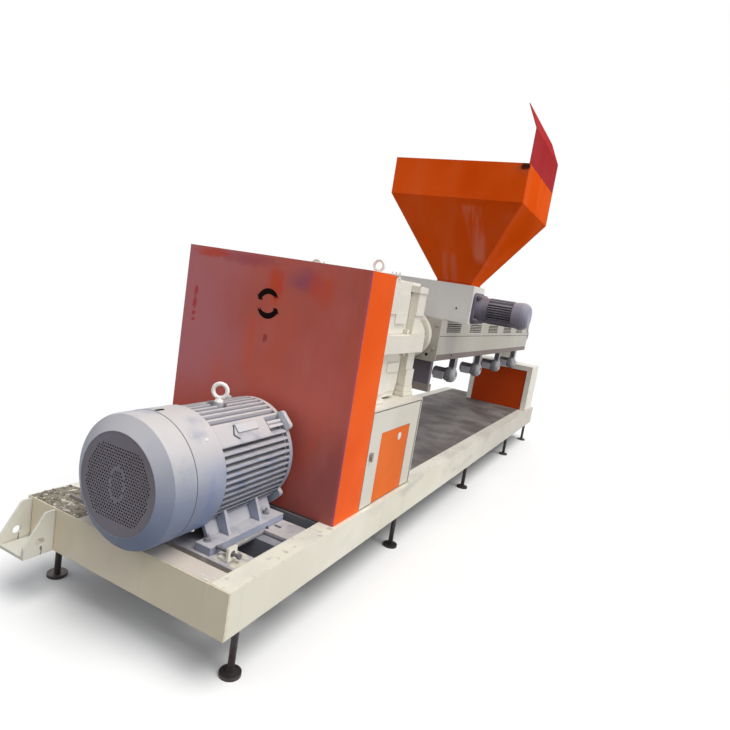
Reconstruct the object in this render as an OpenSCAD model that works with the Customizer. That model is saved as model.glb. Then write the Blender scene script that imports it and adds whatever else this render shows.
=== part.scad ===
// Plastic extruder on a welded base frame
// Working axes: X across the machine from the screw axis, Y from the belt guard's
// front face towards the die end, Z up from the floor. The whole machine is then
// shifted so that its origin lies on the floor, under the middle of its footprint.

/* [Base frame] */
// Width of the base frame across the machine
base_w = 1124; // [1090:2:1240]
// Distance from the screw axis to the right side of the base
base_right = 374; // [360:1:420]
// Length of the motor bay in front of the belt guard
motor_bay_len = 734; // [700:1:860]
// Length of the base behind the barrel cover
base_tail = 410; // [390:1:520]
// Height of the frame beams
beam_h = 185; // [140:1:240]
// Width of the frame beams
beam_w = 95; // [70:1:96]
// Gap between the floor and the beams
floor_gap = 223; // [160:1:300]
// Thickness of the deck and end plates
deck_t = 8; // [5:1:12]
// Width of the cross members
cross_w = 60; // [40:1:80]
// Thickness of the motor bed plate
bed_t = 20; // [12:1:30]
// Width of the gap between the front strip and the motor bed
bed_gap = 29; // [15:1:40]
// Depth of the front strip of the base top
front_strip = 100; // [80:1:110]
// Opening between the motor bed and the belt guard
bed_rear_gap = 107; // [70:1:120]

/* [Levelling feet] */
// Diameter of the foot pads
foot_d = 86; // [70:1:110]
// Thickness of the foot pads
foot_t = 14; // [10:1:20]
// Diameter of the levelling screws
foot_screw_d = 28; // [20:1:36]
// Distance between feet along a beam
foot_pitch = 1456; // [1300:1:1500]
// Feet in a row, apart from the last one at the rear end
foot_count = 4; // [3:1:4]

/* [Hitch bracket] */
// How far the lugs stand out from the end plate
lug_reach = 128; // [110:1:160]
// Thickness of each lug
lug_t = 12; // [8:1:16]
// Distance between the lugs, centre to centre
lug_pitch = 157; // [130:1:200]
// Radius of the hole through the lugs
lug_hole_r = 18; // [12:0.5:22]

/* [Main motor] */
// Height of the motor shaft over its feet
shaft_h = 264; // [262:1:290]
// Distance of the motor axis to the left of the screw axis
motor_offset = 125; // [110:1:150]
// Radius over the cooling fins
fin_r = 250; // [240:1:254]
// Radius of the motor frame under the fins
frame_r = 208; // [195:1:220]
// Distance between cooling fins
fin_pitch = 28; // [24:1:34]
// Thickness of a cooling fin
fin_t = 9; // [5:1:12]
// Radius of the fan cowl
cowl_r = 259; // [256:1:261]
// Length of the fan cowl
cowl_len = 294; // [250:1:310]
// Sheet thickness of the fan cowl
cowl_t = 3; // [2:0.5:4]
// Length of the finned motor frame
frame_len = 442; // [430:1:450]
// Width over the motor feet
feet_w = 548; // [530:1:560]
// Length of the motor feet
feet_len = 480; // [460:1:486]
// Thickness of the motor feet
feet_t = 32; // [28:1:40]
// Radius of the motor shaft
shaft_r = 32.5; // [28:0.5:40]

/* [Belt guard] */
// Width of the belt guard
guard_w = 1068; // [1000:1:1100]
// Depth of the belt guard
guard_d = 253; // [220:1:300]
// Height of the belt guard over the base
guard_h = 1184; // [1150:1:1300]
// Sheet thickness of the guard's front panel
guard_t = 4; // [3:1:6]

/* [Pedestal] */
// Width of the pedestal
pedestal_w = 704; // [700:1:704]
// Length of the pedestal
pedestal_len = 649; // [640:1:680]
// Height of the pedestal
pedestal_h = 522; // [480:1:560]
// Wall thickness of the pedestal
pedestal_t = 10; // [6:1:14]
// Thickness of the service door
door_t = 24; // [18:1:28]
// Gap around the service door
door_gap = 5; // [5:0.5:8]

/* [Gearbox] */
// Width of the gearbox at its joint flange
gearbox_w = 586; // [560:1:600]
// Width over the bars of the gearbox housing
housing_w = 530; // [500:1:550]
// Depth of the recess between the bars
recess_d = 50; // [30:1:70]
// Length of the gearbox
gearbox_len = 620; // [600:1:640]
// Height of the gearbox
gearbox_h = 656; // [640:1:700]
// Height of the joint flange
joint_h = 100; // [80:1:120]
// Radius of the lifting eyes
eye_r = 26; // [20:1:30]

/* [Barrel] */
// Height of the screw axis over the lower face of the joint flange
screw_rise = 60; // [50:1:70]
// Diameter of the screw bore
screw_d = 100; // [80:1:120]
// Outside diameter of the barrel
barrel_d = 190; // [170:1:200]
// Radius of the outlet flange
outlet_r = 160; // [150:1:175]
// Thickness of the outlet flange
outlet_t = 45; // [35:1:60]
// Number of holes in the outlet flange
outlet_holes = 8; // [6:1:12]
// Bolt circle diameter of the outlet flange
outlet_pcd = 260; // [250:1:270]
// Hole diameter in the outlet flange
outlet_hole_d = 22; // [16:0.5:26]
// Radius of the recess in the outlet flange
recess_r = 62; // [60:1:68]
// Depth of the recess in the outlet flange
recess_len = 20; // [12:1:25]

/* [Barrel cover] */
// Width of the barrel cover
cover_w = 426; // [400:1:440]
// Height of the barrel cover
cover_h = 239; // [236:1:250]
// Length of the barrel cover
cover_len = 2980; // [2900:1:3000]
// Sheet thickness of the barrel cover
cover_t = 4; // [3:1:6]
// Height of the lower tray
tray_h = 127; // [110:1:140]
// Length of one louvre group
louvre_len = 320; // [280:1:360]
// Distance from the cover's front end to the first louvre group
louvre_lead = 118; // [90:1:160]
// Distance from the last louvre group to the cover's rear end
louvre_tail = 322; // [120:1:400]
// Groups of louvres on each side
louvre_groups = 5; // [3:1:5]
// Rows of louvres in a group
louvre_rows = 5; // [4:1:6]

/* [Blowers] */
// Number of barrel blowers
blower_count = 4; // [3:1:4]
// Distance from the cover's front end to the first blower
blower_lead = 650; // [600:1:720]
// Distance from the last blower to the cover's rear end
blower_tail = 194; // [150:1:300]
// Radius of a blower scroll
scroll_r = 62; // [56:1:72]
// Width of a blower scroll
scroll_w = 72; // [60:1:80]
// Radius of a blower motor
blower_motor_r = 46; // [40:1:50]

/* [Feeder] */
// Width of the feeder box
feeder_w = 708; // [690:1:720]
// Depth of the feeder box
feeder_len = 266; // [262:1:320]
// Height of the feeder box
feeder_h = 258; // [240:1:280]
// Side of the feeder motor's square flange
feeder_flange = 214; // [206:1:220]
// Radius over the feeder motor's fins
feeder_motor_r = 88; // [82:1:96]
// Length of the feeder motor
feeder_motor_len = 373; // [350:1:400]

/* [Hopper] */
// Width of the hopper bin across the machine
hopper_w = 869; // [820:1:900]
// Length of the hopper bin
hopper_len = 820; // [780:1:840]
// Height of the hopper bin
hopper_bin_h = 230; // [200:1:280]
// Height of the hopper funnel
hopper_funnel_h = 506; // [480:1:540]
// Width of the funnel's outlet
hopper_out_w = 245; // [230:1:260]
// Length of the funnel's outlet
hopper_out_len = 208; // [196:1:208]
// Sheet thickness of the hopper
hopper_t = 4; // [3:0.5:6]
// Height of the upright part of the splash board
splash_rise = 202; // [180:1:230]
// Width of the splash board's folded part
splash_fold = 156; // [120:1:180]

/* [Rear support] */
// Width of the rear support box
support_w = 702; // [660:1:720]
// Depth of the rear support box
support_d = 375; // [340:1:400]
// Height of the rear support box
support_h = 511; // [480:1:540]
// Width of the frame around its front panel
support_frame = 55; // [40:1:70]

/* [Hidden] */
$fn = 64;

CREAM = [0.90, 0.89, 0.81];
ORANGE = [0.93, 0.35, 0.10];
CRIMSON = [0.60, 0.20, 0.17];
GREY = [0.70, 0.71, 0.75];
DARK = [0.20, 0.20, 0.22];
STEEL = [0.62, 0.62, 0.62];
PURPLE = [0.42, 0.40, 0.46];

seat = 0.3;

// Base
base_left = base_right - base_w;
base_front = -motor_bay_len;
base_top = floor_gap + beam_h;
inner_left = base_left + beam_w;
inner_right = base_right - beam_w;
bed_front = base_front + front_strip + bed_gap;
bed_rear = -bed_rear_gap;
bed_cross_y = bed_rear - 200;
foot_inset = 134;
foot_rear_inset = 100;

// Main motor
motor_x = -motor_offset;
motor_z = base_top + shaft_h;
frame_rear = -85;
frame_front = frame_rear - frame_len;
cowl_front = frame_front - cowl_len;
cowl_cone = 40;
feet_rear = frame_rear - 24;
feet_front = feet_rear - feet_len;
foot_bar = 79;
shield_face = frame_rear + 42;
eye_y = frame_front + 202;
eye_seat = fin_r + 6;
terminal_seat = fin_r + 6;
terminal_front = frame_front + 97;
terminal_len = 200;
grille_r = 197;

// Belt guard
guard_right = pedestal_w / 2 + 2;
guard_left = guard_right - guard_w;

// Pedestal and its door
pedestal_right = guard_right;
pedestal_left = pedestal_right - pedestal_w;
pedestal_front = guard_d;
pedestal_rear = pedestal_front + pedestal_len;
pedestal_top = base_top + pedestal_h;
door_front = pedestal_front + door_gap;
door_bottom = base_top + door_gap + 1;
door_top = pedestal_top - pedestal_t - door_gap;
hinge_x = pedestal_right - door_t / 2;
hinge_y = pedestal_rear - pedestal_t - door_gap - door_t / 2;
hinge_pin_r = 5;
inset_t = 6;
inset_front = door_front + 131;
inset_len = 372;
inset_h = 381;

// Gearbox
gearbox_front = pedestal_front + 37;
gearbox_rear = gearbox_front + gearbox_len;
gearbox_base = pedestal_top;
gearbox_top = gearbox_base + gearbox_h;
joint_base = gearbox_base + 263;
joint_top = joint_base + joint_h;
ledge_y = gearbox_front + 120;
ledge_drop = 39;

// Barrel line
screw_z = joint_base + screw_rise;
cover_base = screw_z - 111;
cover_top_z = cover_base + cover_h;
cover_seam = cover_base + tray_h;
cover_front = gearbox_rear + 500;
cover_rear = cover_front + cover_len;
base_rear = cover_rear + base_tail;
front_plate_t = 10;
rail_h = 42;
panel_t = 6;
throat_front = cover_front + 30;
throat_len = 260;
throat_rear = throat_front + throat_len;
throat_w = 200;
throat_drop = 267;
throat_flange = 40;
support_front = base_rear - 51 - support_d;
support_top = base_top + support_h;
outlet_face = support_front + support_d - 4;
barrel_rear = outlet_face - outlet_t;
saddle_y = support_front + 186;

// Blowers
blower_z = cover_base - 197;
blower_first = cover_front + blower_lead;
blower_pitch = (cover_len - blower_lead - blower_tail) / (blower_count - 1);
blower_motor_start = -12;
scroll_x = 102;
duct_len = 66;
duct_w = 44;

// Feeder and hopper
feeder_front = cover_front + 108;
hopper_inset = 156;
feeder_base = cover_top_z;
feeder_top = feeder_base + feeder_h;
feeder_right = feeder_w / 2;
feeder_motor_y = feeder_front + feeder_len / 2;
feeder_motor_z = feeder_base + feeder_flange / 2 + 2;
feeder_motor_end = feeder_right + feeder_motor_len;
hopper_x = feeder_right - hopper_inset;
hopper_y = feeder_front + feeder_len / 2;
collar_h = 9;
funnel_base = feeder_top + collar_h;
bin_base = funnel_base + hopper_funnel_h;
bin_top = bin_base + hopper_bin_h;

// Middle of the footprint
hitch_tip = base_front - lug_reach;
mid_x = (base_left + feeder_motor_end) / 2;
mid_y = (hitch_tip + base_rear) / 2;

// Helpers

module placed() {
  translate([-mid_x, -mid_y, 0]) children();
}

module box_between(low, high) {
  translate(low) cube(high - low);
}

// A profile drawn in X and Z, carried along Y
module along_y(start, length) {
  translate([0, start + length, 0])
    rotate([90, 0, 0])
      linear_extrude(length) children();
}

// A profile drawn in Y and Z, carried along X
module along_x(start, length) {
  translate([start, 0, 0])
    rotate([90, 0, 90])
      linear_extrude(length) children();
}

// A turned profile of radius and distance, with its axis along Y
module turned_y() {
  rotate([-90, 0, 0]) rotate_extrude() children();
}

module disc_y(start, length, radius) {
  translate([0, start, 0])
    rotate([-90, 0, 0])
      cylinder(r = radius, h = length);
}

module disc_x(start, length, radius) {
  translate([start, 0, 0])
    rotate([0, 90, 0])
      cylinder(r = radius, h = length);
}

module rounded_square(w, h, r) {
  translate([-w / 2 + r, -h / 2]) square([w - 2 * r, h]);
  translate([-w / 2, -h / 2 + r]) square([w, h - 2 * r]);
  for (sx = [-1, 1], sy = [-1, 1])
    translate([sx * (w / 2 - r), sy * (h / 2 - r)]) circle(r = r);
}

// Children as drawn, or mirrored to the left side
module scale_x(side) {
  if (side > 0) children();
  else mirror([1, 0, 0]) children();
}

module at_motor() {
  translate([motor_x, 0, motor_z]) children();
}

// Base frame

module base_side_beams() placed() color(CREAM) {
  for (x = [base_left, inner_right])
    box_between(
      [x, base_front + deck_t, floor_gap],
      [x + beam_w, base_rear - deck_t, base_top]
    );
}

module base_end_plates() placed() color(CREAM) {
  for (y = [base_front, base_rear - deck_t])
    box_between([base_left, y, floor_gap], [base_right, y + deck_t, base_top]);
}

function cross_places() = concat(
  [bed_front, bed_cross_y, bed_rear - cross_w, 0, pedestal_rear - cross_w],
  [for (i = [1:4]) pedestal_rear + i * (base_rear - pedestal_rear - 160) / 4]
);

module base_cross_members() placed() color(CREAM) {
  for (y = cross_places()) {
    under = y < 0 ? bed_t : deck_t;
    box_between([inner_left, y, floor_gap], [inner_right, y + cross_w, base_top - under]);
  }
}

module base_front_strip() placed() color(CREAM) {
  box_between(
    [inner_left, base_front + deck_t, base_top - bed_t],
    [inner_right, base_front + front_strip, base_top]
  );
}

module base_deck() placed() color(CREAM) {
  box_between([inner_left, 0, base_top - deck_t], [inner_right, base_rear - deck_t, base_top]);
}

// Cut-outs beside the motor feet, and slots for the belt tension bolts
module motor_bed() placed() color(GREY) {
  cut_w = 123;
  cut_front = bed_front + 129;
  cut_len = bed_rear - 147 - cut_front;
  cut_x = feet_w / 2 + 5 + cut_w / 2;
  slot_x = feet_w / 2 + 24;
  difference() {
    box_between([inner_left, bed_front, base_top - bed_t], [inner_right, bed_rear, base_top]);
    for (side = [-1, 1])
      translate([motor_x + side * cut_x, cut_front + cut_len / 2, base_top])
        cube([cut_w, cut_len, 3 * bed_t], center = true);
    for (side = [-1, 1])
      translate([motor_x + side * slot_x, bed_rear - 74, base_top])
        cube([38, 16, 3 * bed_t], center = true);
  }
}

// Bracket with a set screw that pushes the motor sideways
module motor_jack_screw() placed() color(STEEL) {
  bracket_w = 50;
  bracket_h = 56;
  bracket_t = 12;
  reach = 70;
  translate([motor_x + feet_w / 2 + reach, feet_front + 34, base_top]) {
    translate([0, -bracket_w / 2, 0]) cube([bracket_t, bracket_w, bracket_h]);
    translate([-reach + 30, -bracket_w / 2, 0]) cube([reach - 29, bracket_w, 10]);
    translate([0, 0, 29]) {
      disc_x(seat - reach, reach + 38, 7);
      disc_x(-12, 12, 12);
      disc_x(bracket_t + 26, 10, 11);
    }
  }
}

function foot_places() = concat(
  [for (i = [0:foot_count - 1]) base_front + foot_inset + i * foot_pitch],
  [base_rear - foot_rear_inset]
);

module levelling_feet() placed() color(STEEL) {
  for (x = [base_left + beam_w / 2, base_right - beam_w / 2], y = foot_places())
    translate([x, y, 0]) {
      cylinder(d = foot_d, h = foot_t);
      cylinder(d = foot_screw_d, h = floor_gap);
      translate([0, 0, floor_gap - 24]) cylinder(r = foot_screw_d * 0.9, h = 24, $fn = 6);
    }
}

// Two lugs with a cross bore, on a bottom plate
module hitch_bracket() placed() color(CREAM) {
  right_lug = base_left + 182;
  for (x = [right_lug, right_lug - lug_pitch])
    translate([0, base_front, 0])
      difference() {
        along_x(x - lug_t / 2, lug_t)
          polygon([
            [0, floor_gap], [-lug_reach, floor_gap], [-lug_reach, floor_gap + 48],
            [-46, base_top - 10], [-36, base_top - 5], [0, base_top - 5]
          ]);
        translate([x - lug_t, -60, floor_gap + 57])
          rotate([0, 90, 0]) cylinder(r = lug_hole_r, h = 2 * lug_t);
      }
  box_between(
    [right_lug - lug_pitch + lug_t / 2, hitch_tip, floor_gap],
    [right_lug - lug_t / 2, base_front, floor_gap + lug_t]
  );
}

// Main motor

// One quarter's fins, parallel to its middle line
module fin_quarter() {
  rows = floor(fin_r * sin(45) / fin_pitch);
  intersection() {
    circle(r = fin_r);
    polygon([[0, 0], [fin_r, -fin_r], [fin_r, fin_r]]);
    for (k = [-rows:rows])
      translate([0, k * fin_pitch - fin_t / 2]) square([fin_r, fin_t]);
  }
}

module motor_section() {
  circle(r = frame_r);
  for (quarter = [0:3])
    rotate(90 * quarter) fin_quarter();
}

// A flat pad on the upper right of the fins, with a bare raised plate
module motor_pad() {
  pad_w = 90;
  pad_len = 330;
  pad_rise = fin_r - 4;
  rotate([0, -45, 0]) {
    translate([frame_r - 20, frame_front + 8, -pad_w / 2])
      cube([pad_rise - frame_r + 20, pad_len, pad_w]);
    translate([pad_rise - 1, frame_front + 136, -4]) cube([7, 134, 38]);
  }
}

// The fins stop short of the pad and of the lifting eye's boss
module fin_clearings() {
  rotate([0, -45, 0])
    translate([fin_r - 4, frame_front - 1, -60]) cube([20, 340, 120]);
  translate([0, eye_y - 14, frame_r + 2]) cylinder(r = 42, h = 60);
}

// Bosses that carry the lifting eye and the terminal box
module motor_bosses() {
  translate([0, eye_y, frame_r - 20]) cylinder(r = 22, h = eye_seat - frame_r + 20);
  box_between(
    [-terminal_seat, terminal_front, -50],
    [20 - frame_r, terminal_front + terminal_len, 90]
  );
}

module motor_frame() placed() color(GREY) at_motor() {
  ring_t = 12;
  difference() {
    along_y(frame_front, frame_len) motor_section();
    fin_clearings();
  }
  disc_y(frame_front - ring_t, ring_t, cowl_r - cowl_t - seat);
  disc_y(frame_rear - ring_t, ring_t, frame_r + 24);
  motor_pad();
  motor_bosses();
}

// Two long feet, each with an upright web and two gussets
module motor_feet() placed() color(GREY) {
  rib_t = 16;
  for (side = [-1, 1])
    translate([motor_x, 0, base_top]) scale_x(side) {
      box_between([feet_w / 2 - foot_bar, feet_front, 0], [feet_w / 2, feet_rear, feet_t]);
      for (y = [feet_front + 129, feet_rear - 149])
        along_y(y, rib_t) foot_gusset();
      along_y(feet_front + 62, feet_len - 68) foot_web();
    }
}

module foot_gusset() {
  inner = feet_w / 2 - foot_bar;
  difference() {
    polygon([
      [inner, feet_t - 1], [feet_w / 2 - 20, feet_t - 1], [feet_w / 2 - 57, 116],
      [feet_w / 2 - 69, 140], [inner - 60, 140]
    ]);
    translate([0, shaft_h]) circle(r = fin_r + seat);
  }
}

module foot_web() {
  inner = feet_w / 2 - foot_bar;
  difference() {
    polygon([
      [inner - 9, feet_t - 8], [inner + 8, feet_t - 8], [inner + 8, feet_t],
      [inner - 30, 96], [inner - 48, 96]
    ]);
    translate([0, shaft_h]) circle(r = fin_r + seat);
  }
}

module motor_fan_cowl() placed() color(GREY) at_motor() {
  lip = grille_r - 2;
  inside = cowl_r - cowl_t;
  translate([0, cowl_front, 0]) turned_y()
    polygon([
      [grille_r, 0], [cowl_r - 4, cowl_cone - 5], [cowl_r, cowl_cone + 5], [cowl_r, cowl_len],
      [inside, cowl_len], [inside, cowl_cone + 5], [inside - 4, cowl_cone - 3], [lip, cowl_t], [lip, 0]
    ]);
}

// Perforated disc with a plain rim and a plain oval ring in its middle
module motor_fan_grille() placed() color(DARK) at_motor() {
  field_r = 168;
  hole_pitch = 13;
  hole_r = 4.4;
  rows = floor(field_r / hole_pitch);
  along_y(cowl_front + 0.5, cowl_t)
    difference() {
      circle(r = grille_r - 2 - seat);
      for (i = [-rows:rows], j = [-rows:rows]) {
        x = hole_pitch * (i + (j % 2) / 2);
        z = hole_pitch * 0.866 * j;
        ring = norm([x / 34, z / 62]);
        if (norm([x, z]) < field_r && (ring < 0.85 || ring > 1.15))
          translate([x, z]) circle(r = hole_r, $fn = 6);
      }
    }
}

// Flange with four pierced ears, and a turned hub around the shaft
module motor_end_shield() placed() color(GREY) at_motor() {
  flange_t = 24;
  difference() {
    union() {
      along_y(frame_rear, flange_t) shield_section();
      disc_y(frame_rear, 34, 190);
      disc_y(frame_rear, shield_face - frame_rear, 120);
    }
    disc_y(frame_rear - 1, shield_face - frame_rear + 2, shaft_r + 0.5);
  }
}

module shield_section() {
  difference() {
    union() {
      circle(r = frame_r + 40);
      for (a = [45:90:315])
        rotate(a) translate([frame_r + 30, 0]) rounded_square(80, 92, 16);
    }
    for (a = [45:90:315])
      rotate(a)
        polygon([
          [frame_r + 4, -38], [frame_r + 26, -19], [frame_r + 26, 19], [frame_r + 4, 38]
        ]);
  }
}

module motor_shaft() placed() color(STEEL) at_motor() {
  disc_y(frame_rear, guard_t - frame_rear, shaft_r);
}

// Ring bolt, turned towards the motor's front right
module motor_lifting_eye() placed() color(CREAM) at_motor() {
  ring = 31;
  bar = 9;
  ring_z = eye_seat + 49;
  translate([0, eye_y, 0]) rotate([0, 0, 26]) {
    translate([0, 0, ring_z]) rotate([90, 0, 0])
      rotate_extrude() translate([ring, 0]) circle(r = bar);
    translate([0, 0, eye_seat]) cylinder(r1 = 21, r2 = 14, h = 14);
    translate([0, 0, eye_seat]) cylinder(r = 12, h = ring_z - eye_seat - ring + 2);
  }
}

module motor_terminal_box() placed() color(GREY) at_motor() {
  depth = 86;
  lid_t = 8;
  translate([-terminal_seat, terminal_front, 0]) {
    box_between([-depth, -6, -58], [0, terminal_len + 6, 98]);
    box_between([-depth - lid_t, -12, -64], [-depth, terminal_len + 12, 104]);
  }
}

// Belt guard

module guard_front_panel() placed() color(CRIMSON) {
  difference() {
    box_between([guard_left, 0, base_top], [guard_right, guard_t, base_top + guard_h]);
    translate([motor_x, -1, motor_z])
      rotate([-90, 0, 0]) cylinder(r = shaft_r + 20, h = guard_t + 2);
  }
}

module guard_shell() placed() color(ORANGE) {
  box_between([guard_left, guard_t, base_top], [guard_right, guard_d, base_top + guard_h]);
}

// Pedestal

module pedestal_shell() placed() color(CREAM) {
  t = pedestal_t;
  difference() {
    box_between(
      [pedestal_left, pedestal_front, base_top],
      [pedestal_right, pedestal_rear, pedestal_top]
    );
    box_between(
      [pedestal_left + t, pedestal_front + t, base_top - 1],
      [pedestal_right - door_t - door_gap, pedestal_rear - t, pedestal_top - t]
    );
    box_between(
      [pedestal_right - door_t - door_gap - 1, pedestal_front - 1, base_top - 1],
      [pedestal_right + 1, pedestal_rear - t, pedestal_top - t]
    );
    translate([hinge_x, hinge_y, pedestal_top - t - 1])
      cylinder(r = hinge_pin_r + seat, h = 8);
  }
}

module pedestal_door() placed() color(CREAM) {
  difference() {
    union() {
      box_between([pedestal_right - door_t, door_front, door_bottom], [pedestal_right, hinge_y, door_top]);
      translate([hinge_x, hinge_y, door_bottom])
        cylinder(d = door_t, h = door_top - door_bottom);
      translate([hinge_x, hinge_y, base_top + seat])
        cylinder(r = hinge_pin_r, h = pedestal_top - pedestal_t - base_top + 6 - seat);
    }
    box_between(
      [pedestal_right - inset_t, inset_front, door_bottom - 1],
      [pedestal_right + 1, inset_front + inset_len, door_bottom + inset_h]
    );
  }
}

module pedestal_door_inset() placed() color(ORANGE) {
  fit = 0.5;
  box_between(
    [pedestal_right - inset_t, inset_front + fit, door_bottom],
    [pedestal_right - 2, inset_front + inset_len - fit, door_bottom + inset_h - fit]
  );
}

module door_latch() placed() color(STEEL) {
  translate([pedestal_right, door_front + 30, door_bottom + 282]) {
    disc_x(0, 8, 13);
    translate([8, -7, -30]) cube([8, 14, 46]);
  }
}

// Gearbox

// One long side of a housing half, with heights measured away from the joint flange.
// A front bar, a middle column with ledges, a recess, and a rear bar with a cap block.
module side_blocks(high) {
  core = housing_w / 2 - recess_d - 1;
  bar = housing_w / 2;
  bar_end = 239;
  column_end = 395;
  rear_bar = 505;
  step = 108;
  translate([0, gearbox_front, 0]) {
    box_between([core, 0, 0], [bar - 8, bar_end, high]);
    box_between([core, 0, step], [bar, bar_end, high - 40]);
    box_between([core, bar_end - 1, 0], [bar - 18, column_end, high - 12]);
    box_between([core, bar_end - 1, 57], [bar - 6, column_end, 110]);
    box_between([core, bar_end - 1, 109], [bar - 12, column_end, 220]);
    box_between([core, rear_bar, 0], [bar - 8, gearbox_len - 8, step + 1]);
    box_between([core, rear_bar, step], [bar, gearbox_len, high - 20]);
    box_between([core, rear_bar - 12, high - 56], [bar + 5, gearbox_len, high - 18]);
    box_between([core, rear_bar - 60, 0], [bar - 12, rear_bar - 36, 26]);
  }
}

module housing_half(high) {
  box_between([recess_d - housing_w / 2, gearbox_front, 0], [housing_w / 2 - recess_d, gearbox_rear, high]);
  for (side = [-1, 1])
    scale_x(side) side_blocks(high);
}

module gearbox_lower_housing() placed() color(CREAM) {
  foot_h = 24;
  translate([0, 0, joint_base]) mirror([0, 0, 1]) housing_half(joint_base - gearbox_base);
  box_between(
    [-housing_w / 2 - 30, gearbox_front, gearbox_base],
    [housing_w / 2 + 30, gearbox_front + 180, gearbox_base + foot_h]
  );
  box_between(
    [-housing_w / 2 - 14, gearbox_rear - 140, gearbox_base],
    [housing_w / 2 + 14, gearbox_rear, gearbox_base + foot_h]
  );
}

module gearbox_joint_flange() placed() color(CREAM) {
  box_between([-gearbox_w / 2, gearbox_front - 5, joint_base], [gearbox_w / 2, gearbox_rear + 5, joint_top]);
}

// The left lifting eye stands on a lower ledge of the housing's top
module gearbox_upper_housing() placed() color(CREAM) {
  difference() {
    translate([0, 0, joint_top]) housing_half(gearbox_top - joint_top);
    box_between(
      [-housing_w, ledge_y - 60, gearbox_top - ledge_drop],
      [-140, ledge_y + 60, gearbox_top + 1]
    );
  }
}

// Turned lantern with a flange at each end
module gearbox_output_housing() placed() color(CREAM) {
  gearbox_flange = 190;
  neck = 128;
  cover_flange = 160;
  y = gearbox_rear + 5;
  reach = cover_front - front_plate_t - y;
  translate([0, y, screw_z]) turned_y()
    polygon([
      [0, 0], [gearbox_flange, 0], [gearbox_flange, 26], [gearbox_flange - 6, 32], [neck + 22, 70],
      [neck, 130], [neck, reach - 50], [cover_flange - 3, reach - 50], [cover_flange, reach - 47],
      [cover_flange, reach], [0, reach]
    ]);
}

module gearbox_lifting_eye() {
  cylinder(r = 14, h = 22);
  translate([0, 0, 20 + eye_r]) rotate([90, 0, 0])
    rotate_extrude() translate([eye_r, 0]) circle(r = 7);
}

module gearbox_lifting_eyes() placed() color(CREAM) {
  translate([205, gearbox_front + 55, gearbox_top]) gearbox_lifting_eye();
  translate([-200, ledge_y, gearbox_top - ledge_drop]) gearbox_lifting_eye();
}

// Barrel line

// Cooled block around the screw: a neck up to the feeder, a front flange and a foot below
module feed_throat() placed() color(PURPLE) {
  flange_w = 352;
  foot_h = 50;
  bottom = cover_base - throat_drop;
  box_between([-throat_w / 2, throat_front, bottom + foot_h - 1], [throat_w / 2, throat_rear, cover_top_z]);
  box_between(
    [-flange_w / 2, throat_front, bottom + foot_h],
    [flange_w / 2, throat_front + throat_flange, cover_base]
  );
  box_between(
    [-flange_w / 2 - 8, throat_front - 4, bottom],
    [flange_w / 2 + 8, throat_front + throat_flange + 14, bottom + foot_h]
  );
  translate([0, 0, screw_z]) disc_y(cover_front, throat_front - cover_front + 1, barrel_d / 2);
}

module barrel() placed() color(STEEL) {
  translate([0, 0, screw_z])
    disc_y(throat_rear, barrel_rear - throat_rear, barrel_d / 2);
}

module outlet_flange() placed() color(STEEL) {
  translate([0, barrel_rear, screw_z])
    difference() {
      disc_y(0, outlet_t, outlet_r);
      disc_y(-1, outlet_t + 2, screw_d / 2);
      disc_y(outlet_t - recess_len, recess_len + 1, recess_r);
      for (i = [0:outlet_holes - 1])
        rotate([0, (i + 0.5) * 360 / outlet_holes, 0])
          translate([outlet_pcd / 2, 0, 0]) disc_y(-1, outlet_t + 2, outlet_hole_d / 2);
    }
}

// The screw's conical tip, seen through the outlet
module screw_tip() placed() color(STEEL) {
  tip_len = outlet_t - recess_len - 1;
  translate([0, barrel_rear, screw_z])
    rotate([-90, 0, 0]) cylinder(r1 = screw_d / 2 - seat, r2 = 6, h = tip_len);
}

module barrel_saddle() placed() color(CREAM) {
  saddle_w = 180;
  saddle_len = 60;
  difference() {
    union() {
      box_between(
        [-saddle_w / 2, saddle_y, support_top + 14],
        [saddle_w / 2, saddle_y + saddle_len, screw_z]
      );
      box_between(
        [-saddle_w / 2 - 40, saddle_y - 20, support_top],
        [saddle_w / 2 + 40, saddle_y + saddle_len + 20, support_top + 14]
      );
    }
    translate([0, 0, screw_z]) disc_y(saddle_y - 1, saddle_len + 2, barrel_d / 2 + seat);
  }
}

// End plate with rounded lower corners, carrying the cover's front end
module cover_front_plate() placed() color(CREAM) {
  drop = 52;
  corner = 24;
  low = cover_base - drop;
  along_y(cover_front - front_plate_t, front_plate_t)
    difference() {
      union() {
        translate([-cover_w / 2, low + corner]) square([cover_w, cover_top_z - low - corner]);
        translate([corner - cover_w / 2, low]) square([cover_w - 2 * corner, corner + 1]);
        for (side = [-1, 1])
          translate([side * (cover_w / 2 - corner), low + corner]) circle(r = corner);
      }
      for (side = [-1, 1])
        translate([side * (cover_w / 2 - 71), cover_base - 8]) circle(r = 12);
    }
}

// Bottom tray with openings for the feed throat and the blowers
module cover_tray() placed() color(CREAM) {
  w = cover_w / 2;
  t = cover_t;
  difference() {
    along_y(cover_front, cover_len)
      polygon([
        [-w, cover_base], [w, cover_base], [w, cover_seam], [w - t, cover_seam],
        [w - t, cover_base + t], [-w + t, cover_base + t], [-w + t, cover_seam], [-w, cover_seam]
      ]);
    box_between(
      [-throat_w / 2 - seat, throat_front - seat, cover_base - 1],
      [throat_w / 2 + seat, throat_rear + seat, cover_base + t + 1]
    );
    for (i = [0:blower_count - 1])
      translate([scroll_x + 18, blower_first + i * blower_pitch - duct_len / 2 + 6, cover_base - 1])
        cube([duct_w - 12, duct_len - 12, t + 2]);
  }
}

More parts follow.
